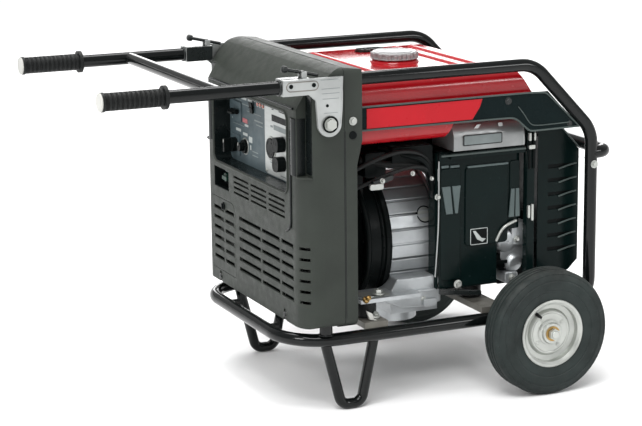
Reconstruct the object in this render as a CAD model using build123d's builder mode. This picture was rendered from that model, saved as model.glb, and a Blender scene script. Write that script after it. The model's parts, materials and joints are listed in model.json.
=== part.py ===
from build123d import *
import os
from math import cos, radians, sin

# Portable inverter generator on a tube frame, with two wheels and folding handles.
# Millimetres, +Z up. -X is the control end with the handles, +X the wheel end,
# -Y the right-hand (engine) side. The origin is the centre of the footprint at ground level.

os.makedirs("parts", exist_ok=True)

SIDES = {"left": 1, "right": -1}

# ---------------------------------------------------------------- driving dimensions
LENGTH = 1084.0            # grip caps to the rear bar
TUBE_R = 12.7              # one-inch frame tube
SIDE_Y = 241.5             # centre plane of each side frame
RAIL_Z = 656.0             # top rail axis
BASE_Z = 151.0             # bottom rail axis
REAR_X = 490.0             # rear upright axis
TOP_BEND_X = 355.0         # where the top rail turns down
SLOPE_END_Z = 513.5        # where the slope meets the rear upright
FRONT_RAIL_X = -168.0      # front rail axis
FRONT_BEND_R = 100.0
STAY_Y = 102.0
UPRIGHT_X = -98.0          # front upright, hidden by the cover, and handle pivot
PIVOT_Z = 578.5

WHEEL_X = 360.0
WHEEL_R = 127.0            # ten-inch tyre
WHEEL_Y = 292.0
TYRE_HALF = 32.0
RIM_R = 68.0
AXLE_R = 8.0
AXLE_END_Y = 334.0
RUNNING_FIT = 0.05         # radial clearance on every turning shaft

HANDLE_Y = 250.0
HANDLE_Z = 651.5
CROSSBAR_X = -310.5
GRIP_R = 15.2
GRIP_FLANGE_X = -414.0
CAP_THICK = 4.0

COVER_FRONT_X = -150.0
COVER_HALF_W = 260.0
COVER_BOTTOM_Z = 180.0
COVER_TOP_Z = 681.0
COVER_WALL = 3.5
COVER_CORNER_R = 45.0
COVER_SHOULDER_R = 14.0
LIP_Z = 600.0              # lower edge of the hood
SEAM_X = -65.0             # joint between front cover and rear shell
SEAM_GAP = 1.0
SHELL_REAR_X = -27.0
SHELL_REAR_TOP_Z = 676.0

PANEL_X = -114.0           # front face of the recessed control panel
PANEL_Y = (-184.0, 195.0)
PANEL_Z = (436.0, 591.0)
PANEL_THICK = 2.5
OUTLET_PLATE_Y = (-180.0, 5.0)

POCKET_X = -128.0          # corner pockets: back face, inner side and floor
POCKET_Y = 226.0
POCKET_Z = 474.0

SLOT_PITCH = 21.1
SLOT_TOP_Z = 337.0
SLOT_H = 7.0
DOOR_Y = (87.0, 213.0)
DOOR_Z = (205.0, 360.0)
DOOR_GAP = 1.0
DOOR_PIN = (-147.3, 209.0)  # x, y of the door's hinge axis
DOOR_PIN_R = 1.2
VALVE_X = -130.0           # back of the fuel valve pocket
VALVE_SPOT = (165.0, 402.0)

TANK_HALF_W = 225.0
TANK_TOP_Z = 643.0
TANK_BOTTOM_Z = 520.0
CAP_X = 170.0
CAP_R = 47.0
NECK_R = 24.0

CRANK_Y = -20.0
CRANK_Z = 300.0
CASING_R = 130.0
CASING_X = (84.0, 190.0)
MOUNT_SPOTS = ((10.0, 195.0), (10.0, -195.0), (268.0, 150.0), (268.0, -150.0))
CROSS_TOP_Z = BASE_Z + TUBE_R + 12.0
MOUNT_TOP_Z = CROSS_TOP_Z + 30.0


def save(piece, name):
    """Label a finished piece and write it as one STEP file."""
    piece.part.label = name
    export_step(piece.part, f"parts/{name}.step")


def rod(start, end, radius, mode=Mode.ADD):
    """Straight round bar between two points, inside the current part."""
    axis = Vector(*end) - Vector(*start)
    with BuildSketch(Plane(origin=start, z_dir=axis)) as section:
        Circle(radius)
    extrude(section.sketch, amount=axis.length, mode=mode)


def bent_tube(points, bends, radius):
    """Round tube along a route of straight runs with tangent bends."""
    with BuildLine() as route:
        FilletPolyline(*points, radius=bends)
    with BuildSketch(Plane(origin=route.line @ 0, z_dir=route.line % 0)) as section:
        Circle(radius)
    sweep(section.sketch, path=route.line)


def block(x, y, z, mode=Mode.ADD):
    """Box from its low and high values along each axis."""
    with Locations(((x[0] + x[1]) / 2, (y[0] + y[1]) / 2, (z[0] + z[1]) / 2)):
        Box(x[1] - x[0], y[1] - y[0], z[1] - z[0], mode=mode)


def facing_front(x):
    """Sketch plane seen from the control end: local x runs to -Y, local y runs up."""
    return Plane(origin=(x, 0, 0), x_dir=(0, -1, 0), z_dir=(-1, 0, 0))


def side_plane(y):
    """Sketch plane of the side view: local x along +X, local y up, normal -Y."""
    return Plane(origin=(0, y, 0), x_dir=(1, 0, 0), z_dir=(0, -1, 0))


# ---------------------------------------------------------------- frame
for side, sign in SIDES.items():
    y = sign * SIDE_Y
    with BuildPart() as side_frame:
        bent_tube(
            [
                (FRONT_RAIL_X + FRONT_BEND_R + 1, y, BASE_Z),
                (REAR_X, y, BASE_Z),
                (REAR_X, y, SLOPE_END_Z),
                (TOP_BEND_X, y, RAIL_Z),
                (UPRIGHT_X, y, RAIL_Z),
                (UPRIGHT_X, y, BASE_Z + TUBE_R + 1),
            ],
            [60.0, 70.0, 70.0, 45.0],
            TUBE_R,
        )
        lug_y = y - sign * 3
        with BuildSketch(side_plane(lug_y)):
            with BuildLine():
                lug_top = (WHEEL_X - 30, BASE_Z - 8)
                lug_end = (WHEEL_X + 30, BASE_Z - 8)
                Polyline((WHEEL_X - 18, WHEEL_R - 6), lug_top, lug_end, (WHEEL_X + 18, WHEEL_R - 6))
                RadiusArc((WHEEL_X + 18, WHEEL_R - 6), (WHEEL_X - 18, WHEEL_R - 6), 19)
            make_face()
        extrude(amount=3, both=True)
        with Locations(Pos(WHEEL_X, lug_y, WHEEL_R) * Rot(90, 0, 0)):
            Cylinder(AXLE_R, 12, mode=Mode.SUBTRACT)
    save(side_frame, f"side_frame_{side}")

with BuildPart() as front_rail:
    start_x = FRONT_RAIL_X + FRONT_BEND_R + 1
    bent_tube(
        [
            (start_x, SIDE_Y, BASE_Z),
            (FRONT_RAIL_X, SIDE_Y, BASE_Z),
            (FRONT_RAIL_X, -SIDE_Y, BASE_Z),
            (start_x, -SIDE_Y, BASE_Z),
        ],
        FRONT_BEND_R,
        TUBE_R,
    )
    # two welded stays that carry the lower edge of the front cover
    for y in (-STAY_Y, STAY_Y):
        block((FRONT_RAIL_X, FRONT_RAIL_X + 34), (y - 9, y + 9), (BASE_Z - 4, BASE_Z + 4))
        block((FRONT_RAIL_X + 28, FRONT_RAIL_X + 34), (y - 9, y + 9), (BASE_Z, COVER_BOTTOM_Z))
save(front_rail, "front_rail")

REAR_BAR_X = LENGTH / 2 - TUBE_R
REAR_BAR_Z = 468.0
with BuildPart() as rear_bar:
    bent_tube(
        [
            (REAR_X, SIDE_Y, REAR_BAR_Z),
            (REAR_BAR_X, SIDE_Y, REAR_BAR_Z),
            (REAR_BAR_X, -SIDE_Y, REAR_BAR_Z),
            (REAR_X, -SIDE_Y, REAR_BAR_Z),
        ],
        24.0,
        TUBE_R,
    )
    with Locations((REAR_X, SIDE_Y, REAR_BAR_Z), (REAR_X, -SIDE_Y, REAR_BAR_Z)):
        Cylinder(TUBE_R, 60, mode=Mode.SUBTRACT)
save(rear_bar, "rear_bar")

LEG_R = 10.5
FOOT_FLAT = 0.6            # how far each leg is flattened where it stands
LEG_Y = SIDE_Y - TUBE_R - LEG_R
for side, sign in SIDES.items():
    y = sign * LEG_Y
    with BuildPart() as leg:
        low = LEG_R - FOOT_FLAT
        bent_tube([(-94, y, 158), (-56, y, low), (-13, y, low), (19, y, 158)], 20.0, LEG_R)
        add(front_rail.part, mode=Mode.SUBTRACT)
        block((-80, 10), sorted((y - 15, y + 15)), (-5, 0), mode=Mode.SUBTRACT)
    save(leg, f"leg_{side}")

with BuildPart() as crossmembers:
    for x in (MOUNT_SPOTS[0][0], MOUNT_SPOTS[2][0]):
        half_depth = 25.0
        low_z = BASE_Z + TUBE_R
        block((x - half_depth, x + half_depth), (-SIDE_Y, SIDE_Y), (low_z, CROSS_TOP_Z))
        hollow_x = (x - half_depth + 3, x + half_depth - 3)
        hollow_y = (-SIDE_Y + 20, SIDE_Y - 20)
        block(hollow_x, hollow_y, (low_z, CROSS_TOP_Z - 3), mode=Mode.SUBTRACT)
save(crossmembers, "crossmembers")

with BuildPart() as engine_mounts:
    for x, y in MOUNT_SPOTS:
        with Locations((x, y, (CROSS_TOP_Z + MOUNT_TOP_Z) / 2)):
            Cylinder(20, MOUNT_TOP_Z - CROSS_TOP_Z)
    fillet(engine_mounts.edges().filter_by(GeomType.CIRCLE), 3)
save(engine_mounts, "engine_mounts")

# ---------------------------------------------------------------- axle and wheels
with BuildPart() as axle:
    rod((WHEEL_X, -AXLE_END_Y, WHEEL_R), (WHEEL_X, AXLE_END_Y, WHEEL_R), AXLE_R)
    chamfer(axle.edges().filter_by(GeomType.CIRCLE), 1)
save(axle, "axle")

HUB_IN = -28.0             # hub ends, measured outwards from the wheel's centre plane
HUB_OUT = 30.0
with BuildPart() as axle_nuts:
    for sign in SIDES.values():
        nut_y = sign * (WHEEL_Y + HUB_OUT + 1)
        with BuildSketch(Plane(origin=(WHEEL_X, nut_y, WHEEL_R), z_dir=(0, sign, 0))):
            RegularPolygon(12, 6)
            Circle(AXLE_R, mode=Mode.SUBTRACT)
        extrude(amount=8)
save(axle_nuts, "axle_nuts")

for side, sign in SIDES.items():
    wheel_plane = Plane(
        origin=(WHEEL_X, sign * WHEEL_Y, WHEEL_R), x_dir=(1, 0, 0), z_dir=(0, 0, sign)
    )
    spin = Axis((WHEEL_X, sign * WHEEL_Y, WHEEL_R), (0, 1, 0))

    # Tyre section: u is the radius, v the distance outwards from the centre plane.
    with BuildPart() as tyre:
        with BuildSketch(wheel_plane):
            with BuildLine():
                tread = 20.0
                Line((WHEEL_R, -tread), (WHEEL_R, tread))
                ThreePointArc((WHEEL_R, tread), (WHEEL_R - 6, 29), (WHEEL_R - 20, TYRE_HALF))
                ThreePointArc((WHEEL_R - 20, TYRE_HALF), (90, 31), (RIM_R, 26))
                Polyline((RIM_R, 26), (RIM_R - 7, 24), (RIM_R - 7, -24), (RIM_R, -26))
                ThreePointArc((RIM_R, -26), (90, -31), (WHEEL_R - 20, -TYRE_HALF))
                ThreePointArc((WHEEL_R - 20, -TYRE_HALF), (WHEEL_R - 6, -29), (WHEEL_R, -tread))
            make_face()
        revolve(axis=spin)
    save(tyre, f"tyre_{side}")

    # Pressed rim: barrel, rolled lips and a dished disc round the hub.
    with BuildPart() as rim:
        with BuildSketch(wheel_plane):
            with BuildLine():
                Polyline(
                    (RIM_R, 26), (RIM_R + 1, 28.5), (RIM_R - 4, 28.5), (RIM_R - 9, 25),
                    (RIM_R - 10, 14), (48, 12), (44, 17), (26, 17), (20, 21), (20, HUB_OUT - 2),
                    (12, HUB_OUT - 2), (12, HUB_IN), (17, HUB_IN), (17, 12), (24, 13),
                    (42, 13), (47, 8), (RIM_R - 10, 9), (RIM_R - 9, -25), (RIM_R - 4, -28.5),
                    (RIM_R + 1, -28.5), (RIM_R, -26), (RIM_R - 7, -24), (RIM_R - 7, 24),
                    close=True,
                )
            make_face()
        revolve(axis=spin)
    save(rim, f"rim_{side}")

    with BuildPart() as hub_bush:
        with BuildSketch(wheel_plane):
            with BuildLine():
                bore = AXLE_R + RUNNING_FIT
                Polyline(
                    (bore, HUB_IN - 2), (bore, HUB_OUT), (15, HUB_OUT), (15, HUB_OUT - 2),
                    (12, HUB_OUT - 2), (12, HUB_IN), (15, HUB_IN), (15, HUB_IN - 2), close=True,
                )
            make_face()
        revolve(axis=spin)
    save(hub_bush, f"hub_bush_{side}")

# ---------------------------------------------------------------- folding handles
SLEEVE_X = (-192.0, -134.0)
LEVER_PIVOT = (-143.0, 675.0)     # x, z of each lock lever's pin
LEVER_Y = 246.0
PLATE_Y = COVER_HALF_W + 2.0
PLATE_THICK = 7.0
for side, sign in SIDES.items():
    y = sign * HANDLE_Y
    grip_end = -LENGTH / 2 + CAP_THICK
    with BuildPart() as handle_tube:
        rod((grip_end, y, HANDLE_Z), (SLEEVE_X[1] - 3, y, HANDLE_Z), TUBE_R)
    save(handle_tube, f"handle_tube_{side}")

    with BuildPart() as grip:
        rod((grip_end, y, HANDLE_Z), (GRIP_FLANGE_X, y, HANDLE_Z), GRIP_R)
        for x in range(int(grip_end) + 12, int(GRIP_FLANGE_X) - 12, 9):
            rod((x, y, HANDLE_Z), (x + 4, y, HANDLE_Z), GRIP_R + 1.3)
        rod((GRIP_FLANGE_X - 7, y, HANDLE_Z), (GRIP_FLANGE_X, y, HANDLE_Z), 22)
        rod((grip_end, y, HANDLE_Z), (grip_end + 5, y, HANDLE_Z), 18)
        rod((grip_end, y, HANDLE_Z), (GRIP_FLANGE_X, y, HANDLE_Z), TUBE_R, mode=Mode.SUBTRACT)
    save(grip, f"grip_{side}")

    # Cast bracket: an outer plate that turns on the pivot bolt, and a sleeve for the tube.
    with BuildPart() as bracket:
        with BuildSketch(side_plane(sign * PLATE_Y)):
            with BuildLine():
                boss = 24.0
                Polyline(
                    (UPRIGHT_X + boss, PIVOT_Z), (-70, 667), (SLEEVE_X[0], 667),
                    (SLEEVE_X[0], 637), (-140, 637), (-125, 624), (UPRIGHT_X - boss, PIVOT_Z),
                )
                boss_ends = [(UPRIGHT_X + step, PIVOT_Z) for step in (-boss, boss)]
                ThreePointArc(boss_ends[0], (UPRIGHT_X, PIVOT_Z - boss), boss_ends[1])
            make_face()
        extrude(amount=-sign * PLATE_THICK)
        sleeve_y = sorted((sign * (HANDLE_Y - 16), sign * (PLATE_Y + PLATE_THICK)))
        block(SLEEVE_X, sleeve_y, (637, 667))
        rod((SLEEVE_X[0], y, HANDLE_Z), (SLEEVE_X[1] - 3, y, HANDLE_Z), TUBE_R, mode=Mode.SUBTRACT)
        with Locations(Pos(UPRIGHT_X, sign * PLATE_Y, PIVOT_Z) * Rot(90, 0, 0)):
            Cylinder(8 + RUNNING_FIT, 40, mode=Mode.SUBTRACT)
        # two ears and a pin on top of the sleeve carry the lock lever
        for ear_y in (LEVER_Y - 7.5, LEVER_Y + 7.5):
            ears = sorted((sign * (ear_y - 2), sign * (ear_y + 2)))
            block((LEVER_PIVOT[0] - 5, LEVER_PIVOT[0] + 5), ears, (666, LEVER_PIVOT[1] + 4))
        pin = [(LEVER_PIVOT[0], sign * (LEVER_Y + step), LEVER_PIVOT[1]) for step in (-8, 8)]
        rod(*pin, 2.5)
    save(bracket, f"handle_bracket_{side}")

    lever_y = sign * LEVER_Y
    lever_run = Vector(-72, 0, 17)
    tail = Vector(LEVER_PIVOT[0] + 31, lever_y, LEVER_PIVOT[1] - 6)
    with BuildPart() as lever_knob:
        rod(tuple(tail + lever_run * 0.85), tuple(tail + lever_run * 1.02), 6.5)
        fillet(lever_knob.edges().filter_by(GeomType.CIRCLE), 4.5)

    with BuildPart() as lock_lever:
        with Locations(Pos(LEVER_PIVOT[0], lever_y, LEVER_PIVOT[1]) * Rot(90, 0, 0)):
            Cylinder(5.2, 9)
        rod(tuple(tail), tuple(tail + lever_run * 0.9), 3.2)
        add(lever_knob.part)
        with Locations(Pos(LEVER_PIVOT[0], lever_y, LEVER_PIVOT[1]) * Rot(90, 0, 0)):
            Cylinder(2.5 + RUNNING_FIT, 12, mode=Mode.SUBTRACT)
    save(lock_lever, f"lock_lever_{side}")

with BuildPart() as handle_crossbar:
    rod((CROSSBAR_X, -HANDLE_Y, HANDLE_Z), (CROSSBAR_X, HANDLE_Y, HANDLE_Z), TUBE_R - 1)
    for sign in SIDES.values():
        ends = [(CROSSBAR_X + step, sign * HANDLE_Y, HANDLE_Z) for step in (-30, 30)]
        rod(*ends, TUBE_R, mode=Mode.SUBTRACT)
    with BuildSketch(Plane.XZ):
        with Locations((CROSSBAR_X, HANDLE_Z)):
            Circle(TUBE_R - 1)
    extrude(amount=HANDLE_Y - 1, both=True, mode=Mode.INTERSECT)
save(handle_crossbar, "handle_crossbar")

with BuildPart() as grip_caps:
    for sign in SIDES.values():
        y = sign * HANDLE_Y
        rod((-LENGTH / 2, y, HANDLE_Z), (-LENGTH / 2 + CAP_THICK, y, HANDLE_Z), 17)
    chamfer(grip_caps.edges().group_by(Axis.X)[0], 1.5)
save(grip_caps, "grip_caps")

with BuildPart() as pivot_bolts:
    for sign in SIDES.values():
        washer_y = sign * (PLATE_Y + PLATE_THICK + 0.3)
        rod((UPRIGHT_X, sign * (SIDE_Y + TUBE_R), PIVOT_Z), (UPRIGHT_X, washer_y, PIVOT_Z), 8)
        head_y = washer_y + sign * 2.5
        rod((UPRIGHT_X, washer_y, PIVOT_Z), (UPRIGHT_X, head_y, PIVOT_Z), 16)
        with BuildSketch(Plane(origin=(UPRIGHT_X, head_y, PIVOT_Z), z_dir=(0, sign, 0))):
            RegularPolygon(11, 6)
        extrude(amount=7)
save(pivot_bolts, "pivot_bolts")


# ---------------------------------------------------------------- control housing
def housing(front_x, rear_x, corner_r, profile, inset=0.0):
    """Housing body: plan outline, side profile and front outline, all inset alike."""
    half_w = COVER_HALF_W - inset
    low_z = COVER_BOTTOM_Z + inset
    with BuildPart() as body:
        extrude(profile(inset), amount=half_w, both=True)
        with BuildSketch(facing_front(front_x - 1)):
            height = COVER_TOP_Z - inset - low_z
            with Locations((0, low_z + height / 2)):
                RectangleRounded(2 * half_w, height, COVER_SHOULDER_R - inset)
        extrude(amount=-(rear_x - front_x + 40), mode=Mode.INTERSECT)
        if corner_r:
            with BuildSketch(Plane.XY):
                reach = 400.0
                with Locations((front_x + inset + reach / 2, 0)):
                    RectangleRounded(reach, 2 * half_w, corner_r - inset)
            extrude(amount=COVER_TOP_Z + 10, mode=Mode.INTERSECT)
    return body.part


def front_profile(inset):
    """Side view of the front cover: flat face, then the hood curving back to the seam."""
    beyond = COVER_FRONT_X - 6     # the plan outline trims this back to the flat face
    low = COVER_BOTTOM_Z + inset
    lip = (beyond, LIP_Z - 12 - inset / 2)
    crown = (-92.0, COVER_TOP_Z - 9 - inset)
    seam = (SEAM_X + (5 if inset else 0), COVER_TOP_Z - inset)
    with BuildSketch(side_plane(0)) as outline:
        with BuildLine():
            Polyline((seam[0], low), (beyond, low), lip)
            ThreePointArc(lip, (-130.0 + inset * 0.7, 632.0 - inset * 0.7), crown)
            ThreePointArc(crown, (-80.0, COVER_TOP_Z - 3 - inset), seam)
            Line(seam, (seam[0], low))
        make_face()
    return outline.sketch


def shell_profile(inset):
    """Side view of the rear shell, whose rear edge steps forwards below the tank."""
    low = COVER_BOTTOM_Z + inset
    front = SEAM_X + SEAM_GAP
    rear = SHELL_REAR_X
    if inset:
        corners = [(front - 5, low), (rear + 5, low), (rear + 5, SHELL_REAR_TOP_Z - inset)]
        corners.append((front - 5, COVER_TOP_Z - inset))
    else:
        corners = [(front, low), (rear - 11, low), (rear - 11, 494), (rear, 541)]
        corners += [(rear, SHELL_REAR_TOP_Z), (front, COVER_TOP_Z)]
    with BuildSketch(side_plane(0)) as outline:
        Polygon(*corners, align=None)
    return outline.sketch


front_cover_outer = housing(COVER_FRONT_X, SEAM_X, COVER_CORNER_R, front_profile)
front_cover_inner = housing(COVER_FRONT_X, SEAM_X, COVER_CORNER_R, front_profile, COVER_WALL)
slot_rows_z = [SLOT_TOP_Z - SLOT_PITCH * row for row in range(6)]
face = facing_front(COVER_FRONT_X)


def panel_outline(x, grow=0.0):
    """Outline of the control recess, seen from the control end."""
    width = PANEL_Y[1] - PANEL_Y[0] + 2 * grow
    height = PANEL_Z[1] - PANEL_Z[0] + 2 * grow
    centre = (-(PANEL_Y[0] + PANEL_Y[1]) / 2, (PANEL_Z[0] + PANEL_Z[1]) / 2)
    with BuildSketch(facing_front(x)) as outline:
        with Locations(centre):
            RectangleRounded(width, height, 16 + grow)
    return outline.sketch


def door_outline(gap):
    """Outline of the access door, with one rounded upper corner."""
    with BuildSketch(facing_front(COVER_FRONT_X)) as outline:
        with BuildLine():
            left, right = -DOOR_Y[1] + gap, -DOOR_Y[0] - gap
            low, high = DOOR_Z[0] + gap, DOOR_Z[1] - gap
            corner = 22.0
            Polyline(
                (right - corner, high), (left, high), (left, low), (right, low),
                (right, high - corner),
            )
            RadiusArc((right, high - corner), (right - corner, high), -corner)
        make_face()
    return outline.sketch


# pockets in both upper corners, where the folding brackets swing
with BuildPart() as pocket_lining:
    for sign in SIDES.values():
        lining_y = sorted((sign * (POCKET_Y - COVER_WALL), sign * COVER_HALF_W))
        lining_x = (COVER_FRONT_X, POCKET_X + COVER_WALL)
        block(lining_x, lining_y, (POCKET_Z - COVER_WALL, COVER_TOP_Z))
    add(front_cover_outer, mode=Mode.INTERSECT)

with BuildPart() as front_cover:
    add(front_cover_outer)
    add(front_cover_inner, mode=Mode.SUBTRACT)
    add(pocket_lining.part)
    for sign in SIDES.values():
        pocket_y = sorted((sign * POCKET_Y, sign * (COVER_HALF_W + 1)))
        pocket_z = (POCKET_Z, COVER_TOP_Z)
        block((COVER_FRONT_X - 1, POCKET_X), pocket_y, pocket_z, mode=Mode.SUBTRACT)
    # tray of the control recess
    depth = PANEL_X - COVER_FRONT_X
    extrude(panel_outline(COVER_FRONT_X, grow=COVER_WALL), amount=-depth)
    extrude(panel_outline(COVER_FRONT_X - 1), amount=-depth - 1, mode=Mode.SUBTRACT)
    # cooling slots: three columns of four below the panel, three columns of six lower down
    with BuildSketch(face):
        for centre_y in (52.0, -39.0, -130.0):
            for row in range(4):
                with Locations((-centre_y, 418.0 - 10.8 * row)):
                    Rectangle(80, 4.6)
        for low_y, high_y in ((-46, 66), (-142, -54), (-208, -151)):
            for z in slot_rows_z:
                with Locations((-(low_y + high_y) / 2, z)):
                    Rectangle(high_y - low_y, SLOT_H)
    extrude(amount=-3 * COVER_WALL, mode=Mode.SUBTRACT)
    # short slots round both front corners
    for sign in SIDES.values():
        for z in slot_rows_z:
            slot_y = sorted((sign * (COVER_HALF_W - 30), sign * COVER_HALF_W))
            block((COVER_FRONT_X, COVER_FRONT_X + 18), slot_y, (z - 3, z + 3), mode=Mode.SUBTRACT)
    # fuel valve pocket
    block((COVER_FRONT_X, VALVE_X + 3), (115, 202), (377, 428))
    block((COVER_FRONT_X - 1, VALVE_X), (119, 198), (381, 424), mode=Mode.SUBTRACT)
    extrude(door_outline(gap=0.0), amount=-3 * COVER_WALL, mode=Mode.SUBTRACT)
    # two pins that the access door hangs on
    for low_z, high_z in ((DOOR_Z[0] - 1, DOOR_Z[0] + 12), (DOOR_Z[1] - 12, DOOR_Z[1] + 1)):
        rod((*DOOR_PIN, low_z), (*DOOR_PIN, high_z), DOOR_PIN_R)
    # decorative groove beside the recess
    block((COVER_FRONT_X, COVER_FRONT_X + 2), (-206, -196), (371, 560), mode=Mode.SUBTRACT)
    # arched screw recesses in the lower edge
    with BuildSketch(face):
        for screw_y in (172.0, -165.0):
            with Locations((-screw_y, COVER_BOTTOM_Z + 8)):
                SlotOverall(30, 13, rotation=90)
    extrude(amount=-2, mode=Mode.SUBTRACT)
    # holes for the front uprights, and clearance holes for the pivot bolts
    for sign in SIDES.values():
        with Locations((UPRIGHT_X, sign * SIDE_Y, COVER_BOTTOM_Z)):
            Cylinder(TUBE_R + 0.8, 20, mode=Mode.SUBTRACT)
    with Locations(Pos(UPRIGHT_X, 0, PIVOT_Z) * Rot(90, 0, 0)):
        Cylinder(8.5, 2 * COVER_HALF_W + 10, mode=Mode.SUBTRACT)
save(front_cover, "front_cover")

with BuildPart() as rear_shell:
    add(housing(SEAM_X, SHELL_REAR_X, 0, shell_profile))
    add(housing(SEAM_X - 10, SHELL_REAR_X, 0, shell_profile, COVER_WALL), mode=Mode.SUBTRACT)
save(rear_shell, "rear_shell")


# ---------------------------------------------------------------- control panel
with BuildPart() as control_panel:
    extrude(panel_outline(PANEL_X, grow=COVER_WALL), amount=-PANEL_THICK)
    # raised bezels round the engine switch and the circuit breaker
    block((PANEL_X - 3, PANEL_X), (138, 180), (450, 492))
    block((PANEL_X - 3, PANEL_X), (128, 172), (522, 562))
save(control_panel, "control_panel")

OUTLET_X = PANEL_X - 1.5
with BuildPart() as outlet_plate:
    plate_z = (PANEL_Z[0] + 4, PANEL_Z[1] - 4)
    with BuildSketch(facing_front(PANEL_X)):
        plate_w = OUTLET_PLATE_Y[1] - OUTLET_PLATE_Y[0]
        with Locations((-sum(OUTLET_PLATE_Y) / 2, sum(plate_z) / 2)):
            RectangleRounded(plate_w, plate_z[1] - plate_z[0], 12)
    extrude(amount=PANEL_X - OUTLET_X)
save(outlet_plate, "outlet_plate")

with BuildPart() as locking_outlet:
    with BuildSketch(facing_front(OUTLET_X)):
        with Locations((28, 494)):
            Circle(20)
    extrude(amount=4)
    with BuildSketch(facing_front(OUTLET_X - 4)):
        with Locations((28, 494)):
            Circle(15)
            Circle(13.4, mode=Mode.SUBTRACT)
            with PolarLocations(0, 4):
                with Locations((16, 0)):
                    Rectangle(8, 12, mode=Mode.SUBTRACT)
    extrude(amount=-3, mode=Mode.SUBTRACT)
save(locking_outlet, "locking_outlet")

DUPLEX_SPOTS = ((-85.0, 511.0), (-85.0, 472.0))
with BuildPart() as duplex_outlet:
    block((OUTLET_X - 2, OUTLET_X), (-103, -67), (452, 531))
    for y, z in DUPLEX_SPOTS:
        with BuildSketch(facing_front(OUTLET_X - 2)):
            with Locations((-y, z)):
                SlotOverall(32, 28)
        extrude(amount=2.5)
        with BuildSketch(facing_front(OUTLET_X - 4.5)):
            with Locations((-y - 6, z + 2), (-y + 6, z + 2)):
                Rectangle(1.8, 8)
            with Locations((-y, z - 8)):
                Circle(2.4)
        extrude(amount=-3, mode=Mode.SUBTRACT)
save(duplex_outlet, "duplex_outlet")

ENGINE_SWITCH = (159.0, 471.0)     # y, z on the panel
SELECTOR = (112.0, 474.0)
BREAKER = (150.0, 542.0)
ECO_SWITCH = (70.0, 560.0)
with BuildPart() as engine_switch:
    y, z = ENGINE_SWITCH
    rod((PANEL_X - 3.2, y, z), (PANEL_X - 14, y, z), 15)
    block((PANEL_X - 30, PANEL_X - 14), (y - 3.5, y + 3.5), (z - 14, z + 14))
    fillet(engine_switch.edges().filter_by(Axis.X), 2)
save(engine_switch, "engine_switch")

with BuildPart() as selector_knob:
    y, z = SELECTOR
    rod((PANEL_X - 0.2, y, z), (PANEL_X - 6, y, z), 14)
    rod((PANEL_X - 6, y, z), (PANEL_X - 16, y, z), 9)
    block((PANEL_X - 17, PANEL_X - 16), (y - 1, y + 1), (z, z + 8))
save(selector_knob, "selector_knob")

BREAKER_PIN_X = PANEL_X - 8.4
with BuildPart() as breaker_toggle:
    y, z = BREAKER
    rod((BREAKER_PIN_X, y - 14, z), (BREAKER_PIN_X, y + 14, z), 5)
    block((BREAKER_PIN_X - 11, BREAKER_PIN_X), (y - 12, y + 12), (z - 4.5, z))
save(breaker_toggle, "breaker_toggle")

ROCKER_PIN_X = PANEL_X - 3.3
with BuildPart() as eco_switch:
    y, z = ECO_SWITCH
    with BuildSketch(side_plane(y)):
        Polygon(
            (PANEL_X - 7.5, z + 11), (PANEL_X - 4.5, z), (PANEL_X - 4.1, z - 11),
            (PANEL_X - 1.6, z - 11), (PANEL_X - 2.2, z), (PANEL_X - 3.8, z + 11), align=None,
        )
    extrude(amount=7, both=True)
    rod((ROCKER_PIN_X, y - 8, z), (ROCKER_PIN_X, y + 8, z), 2.6)
save(eco_switch, "eco_switch")

with BuildPart() as indicator_lights:
    for y in (40.0, 26.0, 12.0):
        with BuildSketch(facing_front(PANEL_X)):
            with Locations((-y, 572)):
                Circle(4)
        extrude(amount=3)
save(indicator_lights, "indicator_lights")

with BuildPart() as fuel_valve_lever:
    y, z = VALVE_SPOT
    rod((VALVE_X - 0.2, y, z), (VALVE_X - 9, y, z), 9)
    block((VALVE_X - 14, VALVE_X - 9), (y - 18, y + 6), (z - 4, z + 4))
    fillet(fuel_valve_lever.edges().filter_by(Axis.X), 1.5)
save(fuel_valve_lever, "fuel_valve_lever")

LATCH_SPOT = (150.0, 345.0)
with BuildPart() as access_door:
    extrude(door_outline(gap=DOOR_GAP), amount=-COVER_WALL)
    with BuildSketch(face):
        for low_y, high_y in ((94, 142), (151, 203)):
            for z in slot_rows_z:
                with Locations((-(low_y + high_y) / 2, z)):
                    Rectangle(high_y - low_y, SLOT_H)
        with Locations((-LATCH_SPOT[0], LATCH_SPOT[1])):
            Rectangle(26, 14, mode=Mode.SUBTRACT)
    extrude(amount=-COVER_WALL - 1, mode=Mode.SUBTRACT)
    barrel_z = (DOOR_Z[0] + DOOR_GAP, DOOR_Z[1] - DOOR_GAP)
    rod((*DOOR_PIN, barrel_z[0]), (*DOOR_PIN, barrel_z[1]), 2.6)
    for low_z, high_z in ((barrel_z[0], barrel_z[0] + 13), (barrel_z[1] - 13, barrel_z[1])):
        pin_hole = DOOR_PIN_R + RUNNING_FIT
        rod((*DOOR_PIN, low_z), (*DOOR_PIN, high_z), pin_hole, mode=Mode.SUBTRACT)
    latch_hole = [(COVER_FRONT_X + step, *LATCH_SPOT) for step in (-2, 10)]
    rod(*latch_hole, 4 + RUNNING_FIT, mode=Mode.SUBTRACT)
save(access_door, "access_door")

with BuildPart() as door_latch:
    y, z = LATCH_SPOT
    rod((COVER_FRONT_X - 0.2, y, z), (COVER_FRONT_X - 2.2, y, z), 8)
    block((COVER_FRONT_X - 5, COVER_FRONT_X - 2.2), (y - 1.5, y + 1.5), (z - 6, z + 6))
    rod((COVER_FRONT_X - 1, y, z), (COVER_FRONT_X + 8, y, z), 4)
    block((COVER_FRONT_X + 5, COVER_FRONT_X + 8), (y - 4, y + 4), (z - 5, z + 12))
save(door_latch, "door_latch")

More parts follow.
